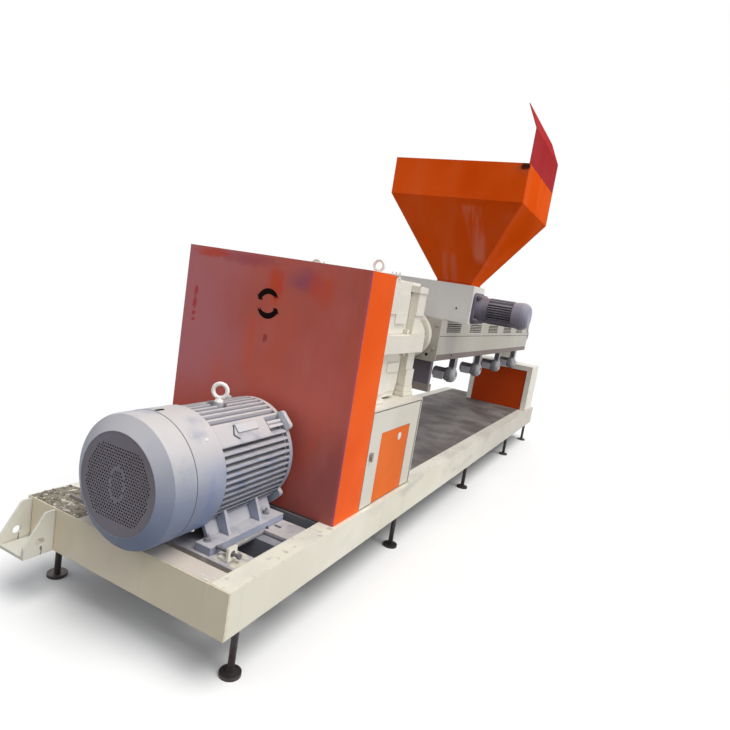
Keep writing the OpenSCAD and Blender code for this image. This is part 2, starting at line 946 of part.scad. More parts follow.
// Angle rails that carry the tray along both sides
module cover_rails() placed() color(PURPLE) {
  wall = 5;
  foot = 28;
  for (side = [-1, 1])
    scale_x(side)
      along_y(cover_front, cover_len)
        polygon([
          [cover_w / 2, cover_base], [cover_w / 2, cover_base - rail_h],
          [cover_w / 2 - wall, cover_base - rail_h], [cover_w / 2 - wall, cover_base - wall],
          [cover_w / 2 - foot, cover_base - wall], [cover_w / 2 - foot, cover_base]
        ]);
}

// Upper cover with rows of louvre slots on both sides
module cover_top() placed() color(CREAM) {
  w = cover_w / 2;
  t = cover_t;
  row_pitch = 13.5;
  dash = 6;
  dash_len = louvre_len / dash;
  pitch = (cover_len - louvre_lead - louvre_tail - louvre_len) / (louvre_groups - 1);
  difference() {
    along_y(cover_front, cover_len)
      polygon([
        [-w, cover_seam], [-w, cover_top_z], [w, cover_top_z], [w, cover_seam], [w - t, cover_seam],
        [w - t, cover_top_z - t], [-w + t, cover_top_z - t], [-w + t, cover_seam]
      ]);
    box_between(
      [-throat_w / 2 - seat, throat_front - seat, cover_top_z - t - 1],
      [throat_w / 2 + seat, throat_rear + seat, cover_top_z + 1]
    );
    for (g = [0:louvre_groups - 1], r = [0:louvre_rows - 1], d = [0:dash - 1])
      translate([
        0, cover_front + louvre_lead + g * pitch + (d + 0.5) * dash_len, cover_seam + 32 + r * row_pitch
      ]) cube([2 * cover_w, dash_len - 7, 6], center = true);
  }
}

module cover_rear_plate() placed() color(CREAM) {
  along_y(cover_rear, cover_t)
    difference() {
      translate([-cover_w / 2, cover_base]) square([cover_w, cover_h]);
      translate([0, screw_z]) circle(r = barrel_d / 2 + seat);
    }
}

// A radial blower: short motor with a terminal box in front, scroll, and a duct up to the tray
module blower(place) {
  r = scroll_r;
  round_r = 20;
  rise = cover_base - blower_z;
  motor_r = blower_motor_r;
  translate([0, blower_first + (place - 1) * blower_pitch, blower_z]) {
    translate([scroll_x, 0, 0]) rotate([0, 90, 0]) rotate_extrude()
      polygon([
        [0, 0], [r - 10, 0], [r - 3, 4], [r, 12], [r, scroll_w - round_r - 12],
        [r - 5, scroll_w - round_r], [r - 14, scroll_w - 9], [r - round_r - 6, scroll_w],
        [26, scroll_w], [22, scroll_w - 10], [0, scroll_w - 10]
      ]);
    box_between([scroll_x + 12, -duct_len / 2, 0], [scroll_x + 12 + duct_w, duct_len / 2, rise]);
    translate([blower_motor_start, 0, 0]) rotate([0, 90, 0]) rotate_extrude()
      polygon([[0, 0], [motor_r - 8, 0], [motor_r, 8], [motor_r, 116], [0, 116]]);
    disc_x(scroll_x - 10, 11, motor_r + 8);
    box_between([18, -motor_r - 32, -38], [scroll_x - 10, 0, 17]);
    box_between([15, -motor_r - 37, -41], [scroll_x - 7, -motor_r - 31, 20]);
  }
}

module blower_1() placed() color(STEEL) blower(1);
module blower_2() placed() color(STEEL) blower(2);
module blower_3() placed() color(STEEL) blower(3);
module blower_4() placed() color(STEEL) blower(4);

// Feeder and hopper

// Closed box with a rounded rear top edge and an inlet pocket under the hopper
module feeder_box() placed() color(CREAM) {
  pocket = 150;
  corner = 24;
  rear = feeder_front + feeder_len;
  difference() {
    along_x(-feeder_w / 2, feeder_w) {
      translate([feeder_front, feeder_base]) square([feeder_len, feeder_h - corner]);
      translate([feeder_front, feeder_base]) square([feeder_len - corner, feeder_h]);
      translate([rear - corner, feeder_top - corner]) circle(r = corner);
    }
    translate([hopper_x, hopper_y, feeder_top - pocket])
      translate([-hopper_out_w / 2 + hopper_t, -hopper_out_len / 2 + hopper_t, 0])
        cube([hopper_out_w - 2 * hopper_t, hopper_out_len - 2 * hopper_t, pocket + 1]);
  }
}

module at_feeder_motor() {
  translate([feeder_right, feeder_motor_y, feeder_motor_z]) children();
}

// Flange with bolt lugs, bell, and fins in four groups
module feeder_motor_frame() placed() color(PURPLE) at_feeder_motor() {
  flange_t = 18;
  bell_end = 98;
  fins = 166;
  lug = feeder_flange / 2 - 26;
  along_x(0, flange_t) rounded_square(feeder_flange, feeder_flange, 46);
  rotate([0, 90, 0]) rotate_extrude()
    polygon([
      [0, flange_t - 1], [98, flange_t - 1], [feeder_motor_r - 2, bell_end - 30],
      [feeder_motor_r - 2, bell_end + 1], [0, bell_end + 1]
    ]);
  for (sy = [-1, 1], sz = [-1, 1])
    translate([0, sy * lug, sz * lug]) disc_x(flange_t - 1, 23, 17);
  along_x(bell_end, fins) feeder_fins();
}

module feeder_fins() {
  circle(r = feeder_motor_r - 12);
  for (quarter = [0:3], k = [-3:3])
    rotate(90 * quarter)
      intersection() {
        circle(r = feeder_motor_r);
        polygon([[0, 0], [120, -120], [120, 120]]);
        translate([0, k * 16 - 3]) square([120, 6]);
      }
}

module feeder_motor_cowl() placed() color(GREY) at_feeder_motor() {
  start = 98 + 166;
  length = feeder_motor_len - start;
  r = feeder_motor_r + 2;
  rotate([0, 90, 0])
    translate([0, 0, start])
      rotate_extrude()
        polygon([
          [0, 0], [r - 5, 0], [r - 1, 34], [r + 1, length - 46], [r - 3, length - 26],
          [r - 14, length - 9], [r - 30, length], [0, length]
        ]);
}

module plate_at(z, w, l) {
  translate([-w / 2, -l / 2, z]) cube([w, l, 0.01]);
}

module hopper_funnel() placed() color(ORANGE) translate([hopper_x, hopper_y, 0]) {
  t = hopper_t;
  difference() {
    hull() {
      plate_at(funnel_base, hopper_out_w, hopper_out_len);
      plate_at(bin_base - 0.01, hopper_w, hopper_len);
    }
    hull() {
      plate_at(funnel_base - 0.01, hopper_out_w - 2 * t, hopper_out_len - 2 * t);
      plate_at(bin_base, hopper_w - 2 * t, hopper_len - 2 * t);
    }
  }
  difference() {
    translate([-hopper_out_w / 2 - 4, -hopper_out_len / 2 - 4, feeder_top])
      cube([hopper_out_w + 8, hopper_out_len + 8, collar_h]);
    translate([-hopper_out_w / 2 + t, -hopper_out_len / 2 + t, feeder_top - 1])
      cube([hopper_out_w - 2 * t, hopper_out_len - 2 * t, collar_h + 2]);
  }
}

module hopper_bin() placed() color(ORANGE) translate([hopper_x, hopper_y, bin_base]) {
  t = hopper_t;
  difference() {
    translate([-hopper_w / 2, -hopper_len / 2, 0]) cube([hopper_w, hopper_len, hopper_bin_h]);
    translate([-hopper_w / 2 + t, -hopper_len / 2 + t, -1])
      cube([hopper_w - 2 * t, hopper_len - 2 * t, hopper_bin_h + 2]);
  }
}

// Upright sheet along the right-hand edge, folded inwards near its top
module hopper_splash_board() placed() color(CRIMSON) {
  lean = 26;
  translate([hopper_x + hopper_w / 2 - hopper_t, hopper_y - hopper_len / 2, bin_top]) {
    cube([hopper_t, hopper_len, splash_rise]);
    translate([hopper_t, 0, splash_rise])
      rotate([0, -lean, 0])
        translate([-hopper_t, 0, -1]) cube([hopper_t, hopper_len, splash_fold + 1]);
  }
}

// Rear support

// Box with a shallow recess in its front for the coloured panel
module rear_support_box() placed() color(CREAM) {
  difference() {
    box_between(
      [-support_w / 2, support_front, base_top],
      [support_w / 2, support_front + support_d, support_top]
    );
    box_between(
      [support_frame - support_w / 2, support_front - 1, base_top - 1],
      [support_w / 2 - support_frame, support_front + panel_t + 4, support_top - support_frame]
    );
  }
}

module rear_support_panel() placed() color(ORANGE) {
  fit = 0.5;
  reach = support_w / 2 - support_frame - fit;
  box_between(
    [-reach, support_front + 4, base_top],
    [reach, support_front + panel_t + 4, support_top - support_frame - fit]
  );
}

base_side_beams();
base_end_plates();
base_cross_members();
base_front_strip();
base_deck();
motor_bed();
motor_jack_screw();
levelling_feet();
hitch_bracket();
motor_frame();
motor_feet();
motor_fan_cowl();
motor_fan_grille();
motor_end_shield();
motor_shaft();
motor_lifting_eye();
motor_terminal_box();
guard_front_panel();
guard_shell();
pedestal_shell();
pedestal_door();
pedestal_door_inset();
door_latch();
gearbox_lower_housing();
gearbox_joint_flange();
gearbox_upper_housing();
gearbox_output_housing();
gearbox_lifting_eyes();
feed_throat();
barrel();
screw_tip();
outlet_flange();
barrel_saddle();
cover_front_plate();
cover_tray();
cover_rails();
cover_top();
cover_rear_plate();
blower_1();
blower_2();
blower_3();
blower_4();
feeder_box();
feeder_motor_frame();
feeder_motor_cowl();
hopper_funnel();
hopper_bin();
hopper_splash_board();
rear_support_box();
rear_support_panel();
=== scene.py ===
"""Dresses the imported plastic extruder: finishes, small pieces, floor, light and camera."""

import math
import random

import bmesh
import bpy
from mathutils import Matrix, Vector, noise


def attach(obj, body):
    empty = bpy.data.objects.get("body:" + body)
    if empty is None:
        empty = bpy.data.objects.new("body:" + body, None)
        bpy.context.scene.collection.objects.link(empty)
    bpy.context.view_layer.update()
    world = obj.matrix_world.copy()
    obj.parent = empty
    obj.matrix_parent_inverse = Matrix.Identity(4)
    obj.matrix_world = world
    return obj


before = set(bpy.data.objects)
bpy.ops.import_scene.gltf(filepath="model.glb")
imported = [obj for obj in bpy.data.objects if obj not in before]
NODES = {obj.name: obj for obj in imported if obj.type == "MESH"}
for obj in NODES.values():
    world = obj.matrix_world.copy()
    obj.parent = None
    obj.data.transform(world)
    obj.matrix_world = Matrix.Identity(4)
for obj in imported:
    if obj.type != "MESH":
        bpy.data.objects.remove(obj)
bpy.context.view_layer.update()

# The part's source works from the screw axis (X) and the belt guard's front (Y), in mm.
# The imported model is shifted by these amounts.
SHIFT_X = 11.5
SHIFT_Y = -1969.0

# Places from the part's source that pieces and marks here sit on, in mm.
# Base
BASE_TOP = 408.0
BASE_LEFT = -750.0
BASE_FRONT = -734.0
STRIP_REAR = -634.0
BED_LEFT = -655.0
BED_FRONT = -605.0
HITCH_HOLE_Y = -794.0
HITCH_HOLE_Z = 280.0
# Main motor, its pad at the upper right, and the screw beside it that tightens the belts
MOTOR_X = -125.0
MOTOR_Z = 672.0
COWL_R = 259.0
PAD_RISE = 246.0
DIAGONAL = math.sqrt(0.5)
FEET_FRONT = -589.0
FEET_REAR = -109.0
FOOT_TOP = 440.0
FOOT_BOLT_X = 220.0
JACK_Y = FEET_FRONT + 34
JACK_Z = BASE_TOP + 29
# Belt guard, gearbox and door
GUARD_RIGHT = 354.0
GEARBOX_TOP = 1586.0
INSET_FACE = 352.0
# Barrel line
SCREW_Z = 1253.0
COVER_FRONT = 1410.0
COVER_REAR = 4390.0
COVER_HALF = 213.0
COVER_BASE = 1142.0
COVER_SEAM = 1269.0
COVER_TOP = 1381.0
LOUVRE_Y = 1528.0
LOUVRE_Z = 1301.0
LOUVRE_LEN = 320.0
LOUVRE_PITCH = 555.0
LOUVRE_ROW = 13.5
THROAT_FOOT_Z = 925.0
BLOWER_FIRST_Y = 2060.0
BLOWER_PITCH = 712.0
BLOWER_MOTOR_END = 92.0
OUTLET_FRONT = 4700.0
# Feeding
FEEDER_FRONT = 1518.0
FEEDER_RIGHT = 354.0
FEEDER_MOTOR_Y = 1651.0
FEEDER_MOTOR_Z = 1490.0
HOPPER_Y = 1651.0
HOPPER_RIGHT = 632.5
HOPPER_FRONT = 1241.0
HOPPER_TOP = 2384.0


def at(x, y, z):
    """A place in the source's axes, in mm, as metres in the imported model's axes."""
    return Vector(((x + SHIFT_X) / 1000, (y + SHIFT_Y) / 1000, z / 1000))


def srgb(r, g, b):
    """A colour as read from a picture, as the linear colour that shaders take."""
    parts = [v / 255 for v in (r, g, b)]
    return (*[v / 12.92 if v <= 0.04045 else ((v + 0.055) / 1.055) ** 2.4 for v in parts], 1.0)


def pair(r, g, b):
    """The colour, and the darker and yellower one that an uneven coat of it drifts to."""
    return srgb(r, g, b), srgb(max(r - 12, 0), max(g - 12, 0), max(b - 16, 0))


# Finishes

DUST = srgb(196, 192, 188)
GRIME = srgb(96, 86, 78)
PRIMER = srgb(120, 104, 98)
# Painted shade, laid in creases and round the louvres
PAINTED_SHADE = srgb(58, 50, 46)
# Pale dust on the main motor's top, part dust and part painted light for its brighter top
MOTOR_DUST_AND_TOP_LIGHT = srgb(207, 202, 200)
MOTOR_PAINT = pair(150, 157, 178)
# The barrel cover's paint: greyer than the cream, partly dust and partly painted shade for the
# barrel area
COVER_DUSTY_AND_SHADED = pair(186, 182, 174)

# Paint reflects little, because the white surroundings lie as a haze on what is seen at a slant
PAINT_SPECULAR = 0.12
# In metres: how round sharp edges look, and how near a wall makes a crease
EDGE_RADIUS = 0.004
CREASE_REACH = 0.022
# In mm
THREAD_PITCH = 3.5


class NodeTree:
    """Adds nodes to a tree, with their sockets set or linked as they are made."""

    def __init__(self, tree):
        self.tree = tree

    def add(self, kind, sockets=None, **settings):
        """A new node with the settings, and with values or links for its input sockets."""
        node = self.tree.nodes.new(kind)
        for key, value in settings.items():
            setattr(node, key, value)
        for key, value in (sockets or {}).items():
            self.put(node.inputs[key], value)
        return node

    def put(self, socket, value):
        """Links the socket to another one, or sets it to a plain value."""
        if isinstance(value, bpy.types.NodeSocket):
            self.tree.links.new(value, socket)
        else:
            socket.default_value = value

    def math(self, operation, a, b=0.0):
        """The operation on one or two numbers."""
        return self.add("ShaderNodeMath", {0: a, 1: b}, operation=operation).outputs[0]

    def vector(self, operation, a, b=(0.0, 0.0, 0.0)):
        """The vector that the operation gives, or the number, for a length or dot product."""
        outputs = self.add("ShaderNodeVectorMath", {0: a, 1: b}, operation=operation).outputs
        return outputs["Value" if operation in ("LENGTH", "DOT_PRODUCT") else "Vector"]

    def times(self, *factors):
        """The product of the factors."""
        total = factors[0]
        for factor in factors[1:]:
            total = self.math("MULTIPLY", total, factor)
        return total

    def step(self, value, low, high):
        """0 at low, 1 at high, with a smooth change between them. Low may be the greater."""
        ends = {"Value": value, "From Min": min(low, high), "From Max": max(low, high)}
        ends.update({"To Min": float(low > high), "To Max": float(high > low)})
        return self.add("ShaderNodeMapRange", ends, interpolation_type="SMOOTHSTEP").outputs[0]

    def blend(self, share, first, second):
        """The first colour where the share is 0, the second where it is 1."""
        node = self.add("ShaderNodeMix", data_type="RGBA")
        self.put(node.inputs["Factor"], share)
        self.put(node.inputs[6], first)
        self.put(node.inputs[7], second)
        return node.outputs[2]

    def seen(self):
        """1 for what the camera sees, straight on, in a reflection or through glass."""
        path = self.add("ShaderNodeLightPath").outputs
        straight_or_glossy = self.math("MAXIMUM", path["Is Camera Ray"], path["Is Glossy Ray"])
        return self.math("MAXIMUM", straight_or_glossy, path["Is Transmission Ray"])


class Finish(NodeTree):
    """A Principled material whose patterns are laid out on the object, in the source's mm."""

    def __init__(self, name, rough, metallic=0.0, specular=PAINT_SPECULAR):
        self.material = bpy.data.materials.new(name)
        self.material.use_nodes = True
        super().__init__(self.material.node_tree)
        self.shader = self.tree.nodes["Principled BSDF"]
        self.shader.inputs["Metallic"].default_value = metallic
        self.shader.inputs["Specular IOR Level"].default_value = specular
        self.rough = rough
        metres = self.add("ShaderNodeTexCoord").outputs["Object"]
        in_mm = {"Vector": metres, "Scale": (1000,) * 3, "Location": (-SHIFT_X, -SHIFT_Y, 0)}
        self.place = self.add("ShaderNodeMapping", in_mm).outputs[0]
        self.x, self.y, self.z = self.add("ShaderNodeSeparateXYZ", {0: self.place}).outputs
        self.normal = self.add("ShaderNodeNewGeometry").outputs["Normal"]
        self.upward = self.add("ShaderNodeSeparateXYZ", {0: self.normal}).outputs[2]
        rounded = self.add("ShaderNodeBevel", {"Radius": EDGE_RADIUS}, samples=4)
        self.soft_edge = rounded.outputs["Normal"]

    def over(self, base, colour, *shares):
        """The colour laid over the base, as far as the product of the shares."""
        return self.blend(self.times(*shares), base, colour)

    def noise(self, size, detail=3.0, stretch=(1, 1, 1), shift=0.0):
        """Cloudy pattern with lumps of about the size, in mm, longer where stretch is greater."""
        scale = [1.0 / (size * s) for s in stretch]
        laid = {"Vector": self.place, "Scale": scale, "Location": (shift,) * 3}
        laid = self.add("ShaderNodeMapping", laid).outputs[0]
        pattern = {"Vector": laid, "Scale": 1.0, "Detail": detail}
        return self.add("ShaderNodeTexNoise", pattern).outputs[0]

    def clouds(self, size, low, high, detail=4.0, stretch=(1, 1, 1), shift=0.0):
        """The noise with its levels from low to high spread over 0 to 1."""
        return self.step(self.noise(size, detail, stretch, shift), low, high)

    def spot(self, centre, radii, soft=1.0):
        """1 inside an egg-shaped place, fading out at its rim, which noise makes uneven."""
        away = self.vector("DIVIDE", self.vector("SUBTRACT", self.place, centre), radii)
        waver = self.math("MULTIPLY", self.noise(min(radii), 5, shift=centre[2]), 1.2)
        rim = self.math("ADD", self.vector("LENGTH", away), waver)
        return self.step(rim, 1.4 + soft / 2, 1.4 - soft / 2)

    def edges(self):
        """1 along sharp edges."""
        turn = self.vector("DOT_PRODUCT", self.soft_edge, self.normal)
        return self.step(self.math("SUBTRACT", 1.0, turn), 0.01, 0.12)

    def crease_shade(self):
        """1 in corners, joints and gaps, which get painted shade, 0 where the surface lies open.
        """
        gap = self.add("ShaderNodeAmbientOcclusion", {"Distance": CREASE_REACH}, samples=4)
        return self.step(gap.outputs["AO"], 0.72, 0.3)

    def finish(self, colour, height, depth, rough_spread=0.12):
        """Joins up colour, bump from the height pattern and uneven roughness."""
        self.put(self.shader.inputs["Base Color"], colour)
        relief = {"Height": height, "Distance": depth, "Normal": self.soft_edge}
        self.put(self.shader.inputs["Normal"], self.add("ShaderNodeBump", relief).outputs[0])
        uneven = self.math("SUBTRACT", self.noise(70, 4), 0.5)
        uneven = self.math("MULTIPLY", uneven, rough_spread * 2)
        self.put(self.shader.inputs["Roughness"], self.math("ADD", uneven, self.rough))
        return self.material


def painted(name, colours, rough=0.42, grime=0.15, dust=0.3, chips=0.35, chip=PRIMER,
            recolour=None, peel=0.00012, specular=PAINT_SPECULAR):
    """Paint over metal: uneven coat, orange peel, dust on top, grime, painted shade in creases
    and chipped edges.
    """
    f = Finish(name, rough, specular=specular)
    base = f.blend(f.clouds(600, 0.35, 0.68), *colours)
    if recolour:
        base = recolour(f, base)
    base = f.over(base, GRIME, f.clouds(60, 0.56, 0.8, 5, (1, 1, 7), 3.1), grime)
    lying = f.clouds(200, 0.36, 0.66, 6, shift=7.7)
    base = f.over(base, DUST, f.step(f.upward, 0.55, 0.95), lying, dust)
    # Painted shade: darker paint in corners, joints and gaps
    base = f.over(base, PAINTED_SHADE, f.crease_shade(), 0.5)
    base = f.over(base, chip, f.edges(), f.clouds(26, 0.5, 0.62, 5, shift=1.3), chips)
    fine_and_coarse = f.math("ADD", f.noise(3.8, 2), f.math("MULTIPLY", f.noise(42, 4), 1.6))
    return f.finish(base, fine_and_coarse, peel)


def metal(name, colours, rough=0.35, brushed=(1, 1, 1), threads=False):
    """Bare metal with drawn marks along one axis, stains and dull spots."""
    f = Finish(name, rough, metallic=0.85, specular=0.5)
    base = f.blend(f.clouds(110, 0.35, 0.7, 5), *colours)
    base = f.over(base, GRIME, f.clouds(38, 0.5, 0.72, 6, shift=5.0), 0.3)
    marks = f.noise(2.4, 2, stretch=brushed)
    if threads:
        turns = f.math("FRACT", f.math("DIVIDE", f.z, THREAD_PITCH))
        marks = f.math("ADD", marks, f.math("MULTIPLY", turns, 6.0))
    return f.finish(base, marks, 0.0006 if threads else 0.00006, 0.2)


def cast(name, colours, rough=0.5, grain=0.0003, dust=0.35, dust_colour=DUST,
         dust_patches=(90, 0.2, 0.55), recolour=None, specular=PAINT_SPECULAR):
    """Painted casting with a grainy skin, where dust lies on all that faces up, and painted shade
    in its creases.
    """
    f = Finish(name, rough, specular=specular)
    base = f.blend(f.clouds(250, 0.35, 0.68), *colours)
    if recolour:
        base = recolour(f, base)
    upper = f.step(f.upward, -0.15, 0.85)
    base = f.over(base, dust_colour, upper, f.clouds(*dust_patches, 5), dust)
    # Painted shade: darker paint in corners, joints and gaps
    base = f.over(base, PAINTED_SHADE, f.crease_shade(), 0.55)
    worn = f.clouds(17, 0.48, 0.6, shift=2.2)
    base = f.over(base, srgb(222, 220, 220), f.edges(), worn, 0.45)
    skin = f.math("ADD", f.noise(3, 3), f.math("MULTIPLY", f.noise(14, 4), 1.4))
    return f.finish(base, skin, grain)


# How single nodes differ from their plain paint. Two places in mm after f.x, f.y or f.z are
# where a mark starts and where it is at its full strength.

# Smears on the guard's front: centre (x, z), half width, half height, softness, share, colour
GUARD_SMEARS = (
    ((12, 1500), 88, 54, 1.3, 0.8, srgb(156, 82, 102)),
    ((-148, 1462), 52, 92, 1.0, 0.8, srgb(212, 72, 44)),
    ((110, 1480), 90, 80, 1.2, 0.6, srgb(208, 78, 50)),
    ((-560, 1568), 130, 30, 0.7, 0.8, srgb(204, 74, 50)),
    ((-330, 1560), 170, 34, 1.0, 0.5, srgb(160, 66, 84)),
    ((-642, 1362), 15, 34, 0.5, 0.8, srgb(190, 50, 52)),
    ((-642, 1300), 15, 38, 0.5, 0.8, srgb(190, 50, 52)),
    ((-642, 1246), 15, 14, 0.5, 0.8, srgb(190, 50, 52)),
    ((-642, 1214), 15, 10, 0.5, 0.8, srgb(190, 50, 52)),
    ((-171, 1199), 17, 24, 0.6, 0.7, srgb(140, 50, 46)),
    ((-256, 1170), 26, 190, 1.0, 0.6, srgb(214, 92, 74)),
)
SMEAR_DEPTH = 90


def guard_coat(f, base):
    """Crimson undercoat, paler to the left, browner at the foot, with purple and red smears, and
    a painted pinkish sheen along the right edge.
    """
    drift = f.math("MULTIPLY", f.math("SUBTRACT", f.noise(420, 3), 0.5), 500.0)
    across = f.math("ADD", f.x, drift)
    high = f.math("ADD", f.z, drift)
    base = f.over(base, srgb(194, 116, 120), f.step(across, -150, -650))
    base = f.over(base, srgb(198, 84, 60), f.step(high, 1050, 620), f.step(across, 250, -150))
    base = f.over(base, srgb(164, 90, 86), f.step(high, 1000, 560), f.step(across, -100, 250))
    redder = f.clouds(260, 0.48, 0.66, 5, (1, 1, 2.2), 2.6)
    base = f.over(base, srgb(208, 96, 72), redder, 0.4)
    paler = f.clouds(110, 0.52, 0.76, 5, (1, 1, 3), 8.3)
    base = f.over(base, srgb(196, 116, 112), paler, 0.3)
    for (x, z), half_width, half_height, soft, share, colour in GUARD_SMEARS:
        smear = f.spot((x, 0, z), (half_width, SMEAR_DEPTH, half_height), soft)
        base = f.over(base, colour, smear, share)
    # Painted sheen: a pinkish band along the panel's right edge
    return f.over(base, srgb(214, 100, 130), f.step(f.x, GUARD_RIGHT - 19, GUARD_RIGHT - 2), 0.4)


# The scorched corner of the hopper's rim
SCORCH = (HOPPER_RIGHT - 22, HOPPER_FRONT, HOPPER_TOP - 16)
# The larger painted sheen's left side slants: it follows a line of equal x + SHEEN_SLANT * z
SHEEN_SLANT = 0.3


def hopper_coat(f, base):
    """Paler drifts where the coat is thin, two streaky painted sheens, and a scorched corner."""
    drifts = f.clouds(220, 0.45, 0.7, 4, (1, 1, 3), 5.5)
    base = f.over(base, srgb(240, 112, 62), drifts, 0.35)
    # Painted sheen: pale streaks, standing in for reflections, on the front faces that face down
    sheen_streaks = f.times(
        f.clouds(48, 0.3, 0.56, 2, (1, 8, 8), 2.0),
        f.step(f.upward, 0.0, -0.1),
        f.step(f.y, HOPPER_Y - 11, HOPPER_Y - 21),
    )
    slanting = f.math("ADD", f.x, f.math("MULTIPLY", f.z, SHEEN_SLANT))
    sides = f.times(f.step(slanting, 872, 900), f.step(f.x, 425, 390))
    ends = f.times(f.step(f.z, 2130, 2105), f.step(f.z, 1765, 1830))
    base = f.over(base, srgb(240, 140, 112), sheen_streaks, sides, ends, 0.6)
    sides = f.times(f.step(f.x, 105, 130), f.step(f.x, 230, 200))
    base = f.over(base, srgb(232, 130, 100), sheen_streaks, sides, f.step(f.z, 1860, 1800), 0.45)
    base = f.over(base, srgb(150, 84, 62), f.spot(SCORCH, (58, 40, 52), 1.2), 0.5)
    return f.over(base, srgb(52, 30, 30), f.spot(SCORCH, (34, 40, 24), 0.5), 0.9)


def bed_dirt_and_painted_light(f, base):
    """Overspray and cement-like dirt on top, tan painted light on the front gap's walls, and
    grey-blue painted shade in the cut-outs.
    """
    base = f.over(base, srgb(196, 190, 188), f.clouds(150, 0.48, 0.62, 7, shift=4.0))
    base = f.over(base, srgb(128, 120, 118), f.clouds(45, 0.56, 0.7, 7, shift=9.0), 0.55)
    walls = f.step(f.z, BASE_TOP - 8, BASE_TOP - 16)
    # Painted light: tan, paler walls in the front gap, which would otherwise be in shade
    base = f.over(base, srgb(206, 192, 168), walls, f.step(f.y, BED_FRONT + 2, BED_FRONT), 0.8)
    by_the_screw = f.times(f.step(f.x, 40, 200), f.step(f.y, -300, -420))
    sprayed = f.clouds(34, 0.44, 0.6, 7, shift=1.7)
    base = f.over(base, srgb(222, 216, 192), sprayed, by_the_screw, 0.8)
    # Painted shade: the walls inside the cut-outs are painted dark grey-blue
    return f.over(base, srgb(110, 114, 128), walls, f.step(f.y, BED_FRONT, BED_FRONT + 2), 0.8)


def deck_dirt_and_shade(f, base):
    """Long wipes of grey-brown dust, and painted shade that darkens the deck under the barrel."""
    wipes = f.clouds(260, 0.42, 0.66, 5, (1, 2.5, 1), 1.0)
    base = f.over(base, srgb(120, 112, 113), wipes, 0.6)
    stains = f.clouds(70, 0.56, 0.72, 6, (1, 2, 1), 6.0)
    base = f.over(base, srgb(78, 72, 70), stains, 0.5)
    # Painted shade: darker under the barrel
    return f.over(base, srgb(84, 76, 73), f.step(f.y, 1500, 3200), 0.7)


def beam_coat(f, base):
    """Grey scuffs, and painted shade that greys the beams towards their far ends, under the
    machine.
    """
    # Painted shade: greyer towards the beams' far ends
    base = f.over(base, srgb(190, 184, 174), f.step(f.y, 900, 3600), 0.75)
    scuffs = f.clouds(120, 0.5, 0.72, 6, (1, 3, 1), 2.0)
    base = f.over(base, srgb(168, 162, 156), scuffs, f.step(f.y, -300, 900), 0.4)
    specks = f.clouds(36, 0.6, 0.72, 6, shift=4.0)
    return f.over(base, srgb(150, 142, 134), specks, f.step(f.upward, 0.5, 0.9), 0.5)


# Middles (x, y) of the scratches on the front strip's right end
SCRATCHES = ((255, -714), (232, -700), (268, -690))


def strip_scratches(f, base):
    """A few short white scratches on the front strip's right end."""
    for x, y in SCRATCHES:
        mark = f.spot((x, y, BASE_TOP), (26, 3.5, 20), 0.4)
        base = f.over(base, srgb(250, 246, 242), mark, f.clouds(7, 0.4, 0.6, 3))
    return base


def hitch_runs(f, base):
    """Dark runs below the holes of the two lugs."""
    wander = f.math("MULTIPLY", f.math("SUBTRACT", f.noise(26, 2), 0.5), 26.0)
    off = f.math("ADD", f.math("SUBTRACT", f.y, HITCH_HOLE_Y + 7), wander)
    run = f.step(f.math("ABSOLUTE", off), 4.5, 1.5)
    below = f.step(f.z, HITCH_HOLE_Z, HITCH_HOLE_Z - 14)
    return f.over(base, srgb(84, 76, 72), run, below, f.step(f.upward, 0.4, 0.1), 0.85)


def jack_coat(f, base):
    """Cream bracket with a dark screw through it."""
    away = f.vector("SUBTRACT", f.place, (0, JACK_Y, JACK_Z))
    from_axis = f.vector("LENGTH", f.vector("MULTIPLY", away, (0, 1, 1)))
    return f.over(base, srgb(104, 100, 104), f.step(from_axis, 14, 13))


def motor_coat(f, base):
    """Pale paint all over the top fins, part dust and part painted light that lifts their shade,
    and a smooth paler plate on the pad at the upper right.
    """
    # Part dust, part painted light: paler paint over the top of the motor
    base = f.over(base, MOTOR_DUST_AND_TOP_LIGHT, f.step(f.z, MOTOR_Z + 120, MOTOR_Z + 230), 0.55)
    off_axis = f.math("ADD", f.math("SUBTRACT", f.x, MOTOR_X), f.math("SUBTRACT", f.z, MOTOR_Z))
    rise = f.math("MULTIPLY", off_axis, DIAGONAL)
    plate = f.times(f.step(rise, PAD_RISE + 1, PAD_RISE + 3), f.step(f.x, MOTOR_X, MOTOR_X + 20))
    return f.over(base, srgb(200, 204, 212), plate, 0.8)


def cowl_shade_and_reflection(f, base):
    """Darker, bluer paint below the middle of the fan cowl, a painted shade, and blue painted
    reflections round its rear edge.
    """
    lower = f.step(f.z, MOTOR_Z + 130, MOTOR_Z - 210)
    # Painted shade: darker, bluer paint on the lower part
    base = f.over(base, srgb(116, 129, 158), lower, 0.75)
    rear = f.times(f.step(f.y, -672, -640), f.step(f.z, MOTOR_Z + 190, MOTOR_Z + 60))
    blue_reflection_patches = f.clouds(60, 0.34, 0.6, 4, (1, 1, 2), 4.4)
    # Painted reflection: blue patches round the rear edge
    return f.over(base, srgb(112, 130, 172), rear, blue_reflection_patches, 0.55)


def blower_parts(f, base):
    """Silver scroll on the right, dark duct, and dark motor on the left behind a paler box."""
    motor = f.step(f.x, BLOWER_MOTOR_END + 5, BLOWER_MOTOR_END + 4)
    duct = f.step(f.z, 1000, 1012)
    base = f.over(base, srgb(100, 94, 106), f.math("MAXIMUM", motor, duct))
    middle = BLOWER_PITCH / 2
    along = f.math("MODULO", f.math("SUBTRACT", f.y, BLOWER_FIRST_Y - middle), BLOWER_PITCH)
    box = f.step(along, middle - 49, middle - 51)
    return f.over(base, srgb(204, 200, 208), box, motor, 0.8)


